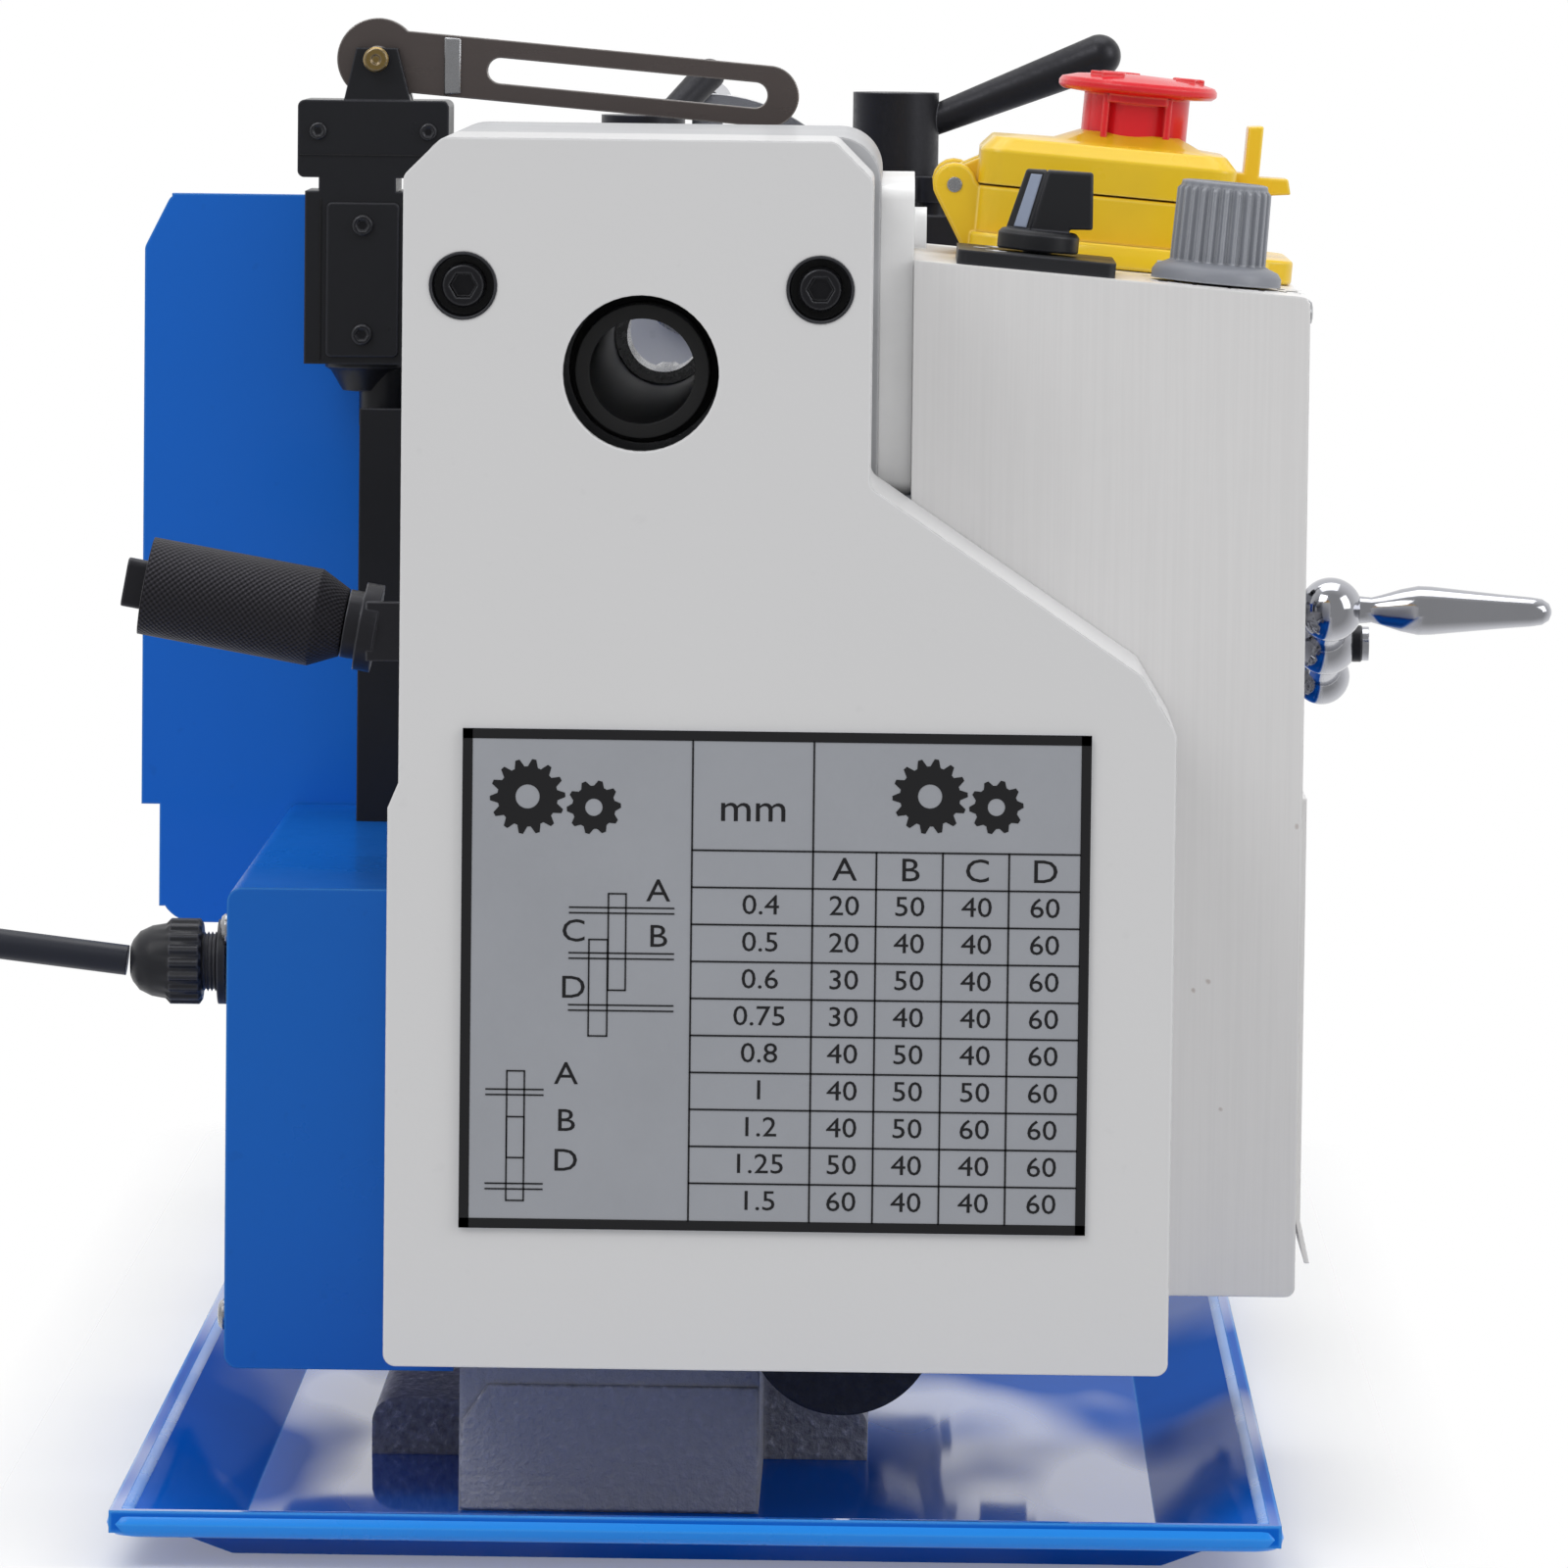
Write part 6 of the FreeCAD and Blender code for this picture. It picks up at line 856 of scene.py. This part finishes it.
def dial_marks(count, radius, length, width, span=360, start=0):
    """Flat radial marks round local Z."""
    forms = []
    for i in range(count):
        turn = math.radians(start + span * i / (count if span == 360 else count - 1))
        long = length * (1.5 if i % 5 == 0 else 1)
        mark = block((radius, radius + long), (-width / 2, width / 2), (0, 0.1))
        forms.append(moved(mark, Matrix.Rotation(turn, 4, "Z")))
    return forms


def make_box_top_print():
    """Speed scale with its figures, and the direction marks on the black plate."""
    scale = dial_marks(11, 14.6, 1.6, 0.5, 270, -225)
    place = on_box_top(SPEED_ALONG, SPEED_OUT, 0.02)
    words = []
    for i in range(0, 11, 2):
        turn = math.radians(-225 + 27 * i)
        words.append((str(i), 19.2 * math.cos(turn), 19.2 * math.sin(turn), 3.4))
    forms = scale + lettering(words, Matrix.Translation((0, 0, 0.1)))
    piece("speed_scale_print", "frame", "label_ink", forms, place)
    place = on_box_top(DIRECTION_ALONG, DIRECTION_OUT, PLATE_UP + 0.05)
    arrows = []
    for side in (-1, 1):
        head = [(side * 12.2, 6.4), (side * 16.4, 8.6), (side * 12.2, 10.8)]
        arrows.append(prism(head, 0, 0.1))
        arrows.append(block(sorted((side * 8.6, side * 12.4)), (8.0, 9.2), (0, 0.1)))
    arrows.append(turned([(1.7, 0), (1.7, 0.1)], 24))
    arrows[-1] = moved(arrows[-1], Matrix.Translation((0, 11.5, 0)))
    piece("direction_print", "frame", "pale_ink", arrows, place)


make_stop_base()
make_stop_lid()
make_stop_button()
make_direction_knob()
make_speed_knob()
make_box_top_print()


# Guard switch and its arm

def make_switch_details():
    """Panel seam, head seam, screws, cable gland, the brass pivot pin, and a light steel strip on the arm's
    bend as a painted highlight.
    """
    depth = (-124.25, -123.9)
    seam = [block(depth, (76.3, 76.7), (231, 266.5)), block(depth, (48, 81.4), (275.8, 276.1))]
    piece("switch_case_seams", "frame", "label_ink", seam)
    lid = rounded((59.2, 75.2), (231.6, 265.6), 1.2)
    piece("switch_case_lid", "frame", "switch_plastic", [prism(lid, -124.8, -124.0, "x")], None, 0.25)
    screws = [moved(cap_screw(2.3, 1.4), facing("left", -124.7, 67.2, z)) for z in (236.6, 260.6)]
    screws += [moved(cap_screw(1.9, 1.0), facing("left", -124.0, y, 281.2)) for y in (53.0, 77.2)]
    piece("switch_case_screws", "frame", "screw_steel", screws)
    nose = turned([(8.9, 0), (8.9, 1.2), (7.6, 2.0), (5.0, 6.4), (3.2, 6.6)], 32)
    down = facing("above", -111.5, 67.1, 230.2) @ Matrix.Rotation(math.pi, 4, "X")
    piece("switch_cable_nose", "frame", "gland_plastic", [moved(nose, down)])
    pin = turned([(2.8, 0), (2.8, 1.2), (2.4, 1.7), (1.1, 1.7), (0.9, 1.3)], 32)
    piece("arm_pivot_pin", "frame", "brass", [moved(pin, facing("left", -125.6, 64.5, 297))])
    # Painted highlight: a light steel strip where the arm's bend catches a bright reflection.
    bend = prism([(46.2, 289.6), (49.9, 289.3), (49.9, 302.0), (46.2, 301.7)], -118.7, -117.9, "x")
    piece("arm_bend_highlight_strip", "guard_arm", "steel", [bend], None, 0.3)


def make_plunger_tip():
    """Flat tang and pin head behind the knurled grip."""
    place = Matrix.Translation(KNEE) @ Matrix.Rotation(LEVER_LEAN, 4, "X")
    tang = prism(rounded((-2.2, 2.2), (-5.0, 5.0), 1.6), 47.0, 52.2, "y")
    washer = moved(turned([(8.6, 0), (8.6, 0.5), (8.0, 0.9)], 32), facing("rear", 0, 47.1, 0))
    piece("plunger_tang", "plunger_knob", "black_steel", [tang, washer], place, 0.3)


make_switch_details()
make_plunger_tip()


# Cross slide crank handle, dials and scales

def make_crank_handle():
    """Turned chrome handle: slim neck, belly a third of the way out, long taper to a round tip."""
    profile = [
        (3.9, 0), (3.9, 1.2), (3.2, 2.0), (2.9, 5.2), (3.5, 7.5), (4.9, 12.0), (5.7, 16.0), (5.6, 19.0),
        (4.9, 26.0), (4.0, 35.0), (3.4, 42.0), (3.0, 44.6), (2.0, 46.2), (0.6, 46.8),
    ]
    stem = turned([(2.4, -4.0), (2.4, 0.4)], 24)
    place = facing("front", -15.1, -155.6, 171.38)
    piece("turned_crank_handle", "crank_handle", "chrome", [turned(profile), stem], place,
          replaces=("crank_handle",))


def make_crank_screw():
    """Black socket screw that holds the ball crank on its screw."""
    place = facing("front", 7, -153.6, 162)
    piece("crank_end_screw", "cross_slide_crank", "screw_steel", [cap_screw(4.3, 6.4)], place)


def drum_scale(name, body, place, radius, near, far, count, figures):
    """Ticks and figures round a dial's drum, engraved and filled with black."""
    forms = []
    for i in range(count):
        turn = math.tau * i / count
        reach = (far - near) * (1.0 if i % 10 == 0 else 0.7 if i % 5 == 0 else 0.45)
        mark = block((radius - 0.2, radius + 0.05), (-0.16, 0.16), (near, near + reach))
        forms.append(moved(mark, Matrix.Rotation(turn, 4, "Z")))
    for i, figure in enumerate(figures):
        turn = Matrix.Rotation(math.tau * i / len(figures), 4, "Z")
        tangent = Matrix(((0, 0, 1), (1, 0, 0), (0, 1, 0))).to_4x4()
        spot = turn @ Matrix.Translation((radius + 0.06, 0, far + 2.6)) @ tangent
        forms += lettering([(figure, 0, 0, 3.4)], spot)
    piece(name, body, "label_ink", forms, place)


def make_scales():
    """Graduated dials, the quill's ruler and the degrees of the compound."""
    figures = [str(n) for n in range(0, 100, 10)]
    place = facing("front", 7, -118.3, 162)
    drum_scale("cross_dial_scale", "cross_slide_crank", place, 15.0, 0.6, 6.4, 100, figures)
    place = facing("right", 84.3, -49.5, 203.74)
    drum_scale("compound_dial_scale", "compound_crank", place, 11.0, 0.5, 4.8, 50, figures[::2])
    marks = []
    for i in range(0, 46):
        long = 7.0 if i % 10 == 0 else 5.0 if i % 5 == 0 else 3.2
        x = 126 + 1.0 * i
        strip = block((x - 0.12, x + 0.12), (-long / 2, long / 2), (12.2, 12.52))
        marks.append(strip)
    ruler = Matrix.Translation((0, 0, AXIS)) @ Matrix.Rotation(math.radians(62), 4, "X")
    piece("quill_ruler", "tailstock_quill", "label_ink", marks, ruler)
    degrees = []
    for i in range(-9, 10):
        turn = math.radians(-90 + 5 * i)
        long = 3.4 if i % 2 == 0 else 2.2
        tick = block((30.05, 30.15), (-0.15, 0.15), (2.0, 2.0 + long))
        degrees.append(moved(tick, Matrix.Rotation(turn, 4, "Z")))
    piece("compound_degree_scale", "compound_base", "label_ink", degrees, Matrix.Translation((7, -49.5, 179)))


make_crank_handle()
make_crank_screw()
make_scales()


# Tray rim, leadscrew thread and other details seen from the sides

def make_tray_rim():
    """Rolled bead along the tray's rim, whose lighter blue is a painted highlight."""
    outline = rounded((-357.7, 357.7), (-127.7, 100.7), 4, 6)
    rings = []
    for share in range(12):
        turn = math.tau * share / 12
        grow = 2.9 * math.cos(turn)
        lift = 9.2 + 2.8 * math.sin(turn)
        bead = []
        for x, y in outline:
            side_x = 1 if x > 0 else -1
            side_y = 1 if y > -13 else -1
            bead.append((x + grow * side_x, y + grow * side_y, lift))
        rings.append(bead)
    piece("tray_rolled_rim", "frame", "rim_blue_lightened_as_highlight", [loft(rings + rings[:1], capped=False)])


def make_bed_end_pad():
    """Milled pad on the bed's end, a little lower and narrower than the casting behind it."""
    pad = [(-25.0, 1.4), (-25.0, 27.6), (31.0, 27.6), (36.4, 19.5), (36.4, 1.4)]
    piece("bed_end_pad", "frame", "casting", [prism(pad, -285.9, -284.9, "x")], None, 0.5)


def screw_thread(root, crest, pitch, length, steps=24):
    """Helical ridge round local Z."""
    rings = []
    for i in range(int(2 * length / pitch)):
        radius = crest if i % 2 else root
        points = []
        for j in range(steps + 1):
            turn = math.tau * j / steps
            rise = pitch * (i / 2 + j / steps)
            points.append((radius * math.cos(turn), radius * math.sin(turn), rise))
        rings.append(points)
    return loft(rings, closed=False, capped=False)


def make_threads():
    """Leadscrew thread between its bearings, pitch 1.5 drawn at 3 so that it shows."""
    thread = screw_thread(7.9, 8.25, 3.0, 514)
    piece("leadscrew_thread", "leadscrew", "steel", [thread], facing("right", -268, -52, 80))


def make_side_screws():
    """Socket and sheet screws where the castings and sheets are fixed."""
    sockets = []
    for x in (-38, 52):
        for z in (60, 138):
            sockets.append(("apron_cap_screws", "carriage", facing("front", x, -85, z), 3.4, 2.6))
    for x in (-291, 276):
        for z in (69.5, 90.5):
            sockets.append(("leadscrew_bracket_screws", "frame", facing("front", x, -66, z), 3.0, 2.6))
    for y in (-18.7, 18.7):
        place = facing("right", 281, y, AXIS + y)
        sockets.append(("tailstock_end_screws", "tailstock", place, 2.2, 2.0))
    grouped = {}
    for name, body, place, radius, height in sockets:
        grouped.setdefault((name, body), []).append(moved(cap_screw(radius, height), place))
    for (name, body), forms in grouped.items():
        piece(name, body, "screw_steel", forms)
    sheet_screws = []
    for x in (-276, -96):
        for z in (40, 120):
            sheet_screws.append(moved(pan_screw(3.2), facing("rear", x, 85.3, z)))
    for x, z in ((-180, 246), (-180, 60)):
        sheet_screws.append(moved(pan_screw(2.8), facing("front", x, -137.9, z)))
    for y in (-125, -66):
        sheet_screws.append(moved(pan_screw(2.4), facing("right", -167.7, y, 60)))
    piece("sheet_screws", "frame", "steel", sheet_screws)


make_tray_rim()
make_bed_end_pad()
make_threads()
make_side_screws()


# Studio

BACK_STRENGTH, SIDE_STRENGTH, DIFFUSE_STRENGTH = 1.0, 0.4, 0.62
# The floor fades over these distances in metres from two boxes, each a centre and a half size
FLOOR_NEAR, FLOOR_FAR = -0.012, 0.045
TRAY_BOX = ((0, -0.0135, 0), (0.36, 0.1175, 0))
COIL_BOX = ((-0.23, 0.26, 0), (0.07, 0.06, 0))


def make_floor():
    """Pale floor that keeps the shadow round the tray and the coil and fades into the white backdrop."""
    floor = bpy.data.meshes.new("floor")
    floor.from_pydata([(-4, -5, 0), (9, -5, 0), (9, 5, 0), (-4, 5, 0)], [], [(0, 1, 2, 3)])
    ground = bpy.data.objects.new("floor", floor)
    scene.collection.objects.link(ground)
    made, tree, shader, place = begin("matt_paper_floor")
    shader.inputs["Base Color"].default_value = rgb("f2f2f3")
    shader.inputs["Roughness"].default_value = 0.9
    shader.inputs["Specular IOR Level"].default_value = 0.0
    clear = add(tree, "BsdfTransparent")
    fades = []
    for centre, half in (TRAY_BOX, COIL_BOX):
        flat = add(tree, "VectorMath", {0: place, 1: centre}, operation="SUBTRACT").outputs[0]
        flat = add(tree, "VectorMath", {0: flat}, operation="ABSOLUTE").outputs[0]
        beyond = add(tree, "VectorMath", {0: flat, 1: half}, operation="SUBTRACT").outputs[0]
        beyond = add(tree, "VectorMath", {0: beyond, 1: (0, 0, 0)}, operation="MAXIMUM").outputs[0]
        away = add(tree, "VectorMath", {0: beyond}, operation="LENGTH").outputs["Value"]
        fades.append(remap(tree, away, FLOOR_NEAR, FLOOR_FAR, 0.0, 1.0))
    fade = add(tree, "Math", {0: fades[0], 1: fades[1]}, operation="MINIMUM").outputs[0]
    blend = add(tree, "MixShader", {0: fade, 1: shader.outputs[0], 2: clear.outputs[0]})
    output = next(node for node in tree.nodes if node.type == "OUTPUT_MATERIAL")
    tree.links.new(blend.outputs[0], output.inputs["Surface"])
    floor.materials.append(made)


def make_world():
    """White backdrop ahead of the camera; a dimmer room lights the object and shows in metal behind it."""
    world = bpy.data.worlds.new("studio")
    world.use_nodes = True
    tree = world.node_tree
    background = tree.nodes["Background"]
    background.inputs["Color"].default_value = (1, 1, 1, 1)
    path = add(tree, "LightPath")
    direction = add(tree, "TexCoord").outputs["Generated"]
    ahead = add(tree, "SeparateXYZ", {0: direction}).outputs[0]
    mirrored = remap(tree, ahead, -0.5, 0.5, SIDE_STRENGTH, BACK_STRENGTH)
    shiny = add(tree, "Math", {0: path.outputs["Is Glossy Ray"], 1: path.outputs["Is Transmission Ray"]},
                operation="MAXIMUM").outputs[0]
    strength = add(tree, "Mix", {0: shiny, 2: DIFFUSE_STRENGTH, 3: mirrored}).outputs[0]
    strength = add(tree, "Mix", {0: path.outputs["Is Camera Ray"], 2: strength, 3: BACK_STRENGTH}).outputs[0]
    connect(tree, background, "Strength", strength)
    scene.world = world


def make_lights():
    """Three large soft lamps: rear left, front and above."""
    lights = [
        ("key", (-1.6, 1.1, 1.9), (1.2, 1.2), 18), ("side", (-0.9, -1.7, 1.0), (1.0, 1.4), 12),
        ("top", (0.2, 0.0, 2.2), (1.8, 1.4), 16),
    ]
    for name, at, size, power in lights:
        data = bpy.data.lights.new(name, "AREA")
        data.shape = "RECTANGLE"
        data.size, data.size_y = size
        data.energy = power
        lamp = bpy.data.objects.new(name, data)
        scene.collection.objects.link(lamp)
        lamp.location = at
        aim = Vector((-0.2, 0, 0.15)) - Vector(at)
        lamp.rotation_euler = aim.to_track_quat("-Z", "Y").to_euler()


make_floor()
make_world()
make_lights()
scene.view_settings.view_transform = "Standard"
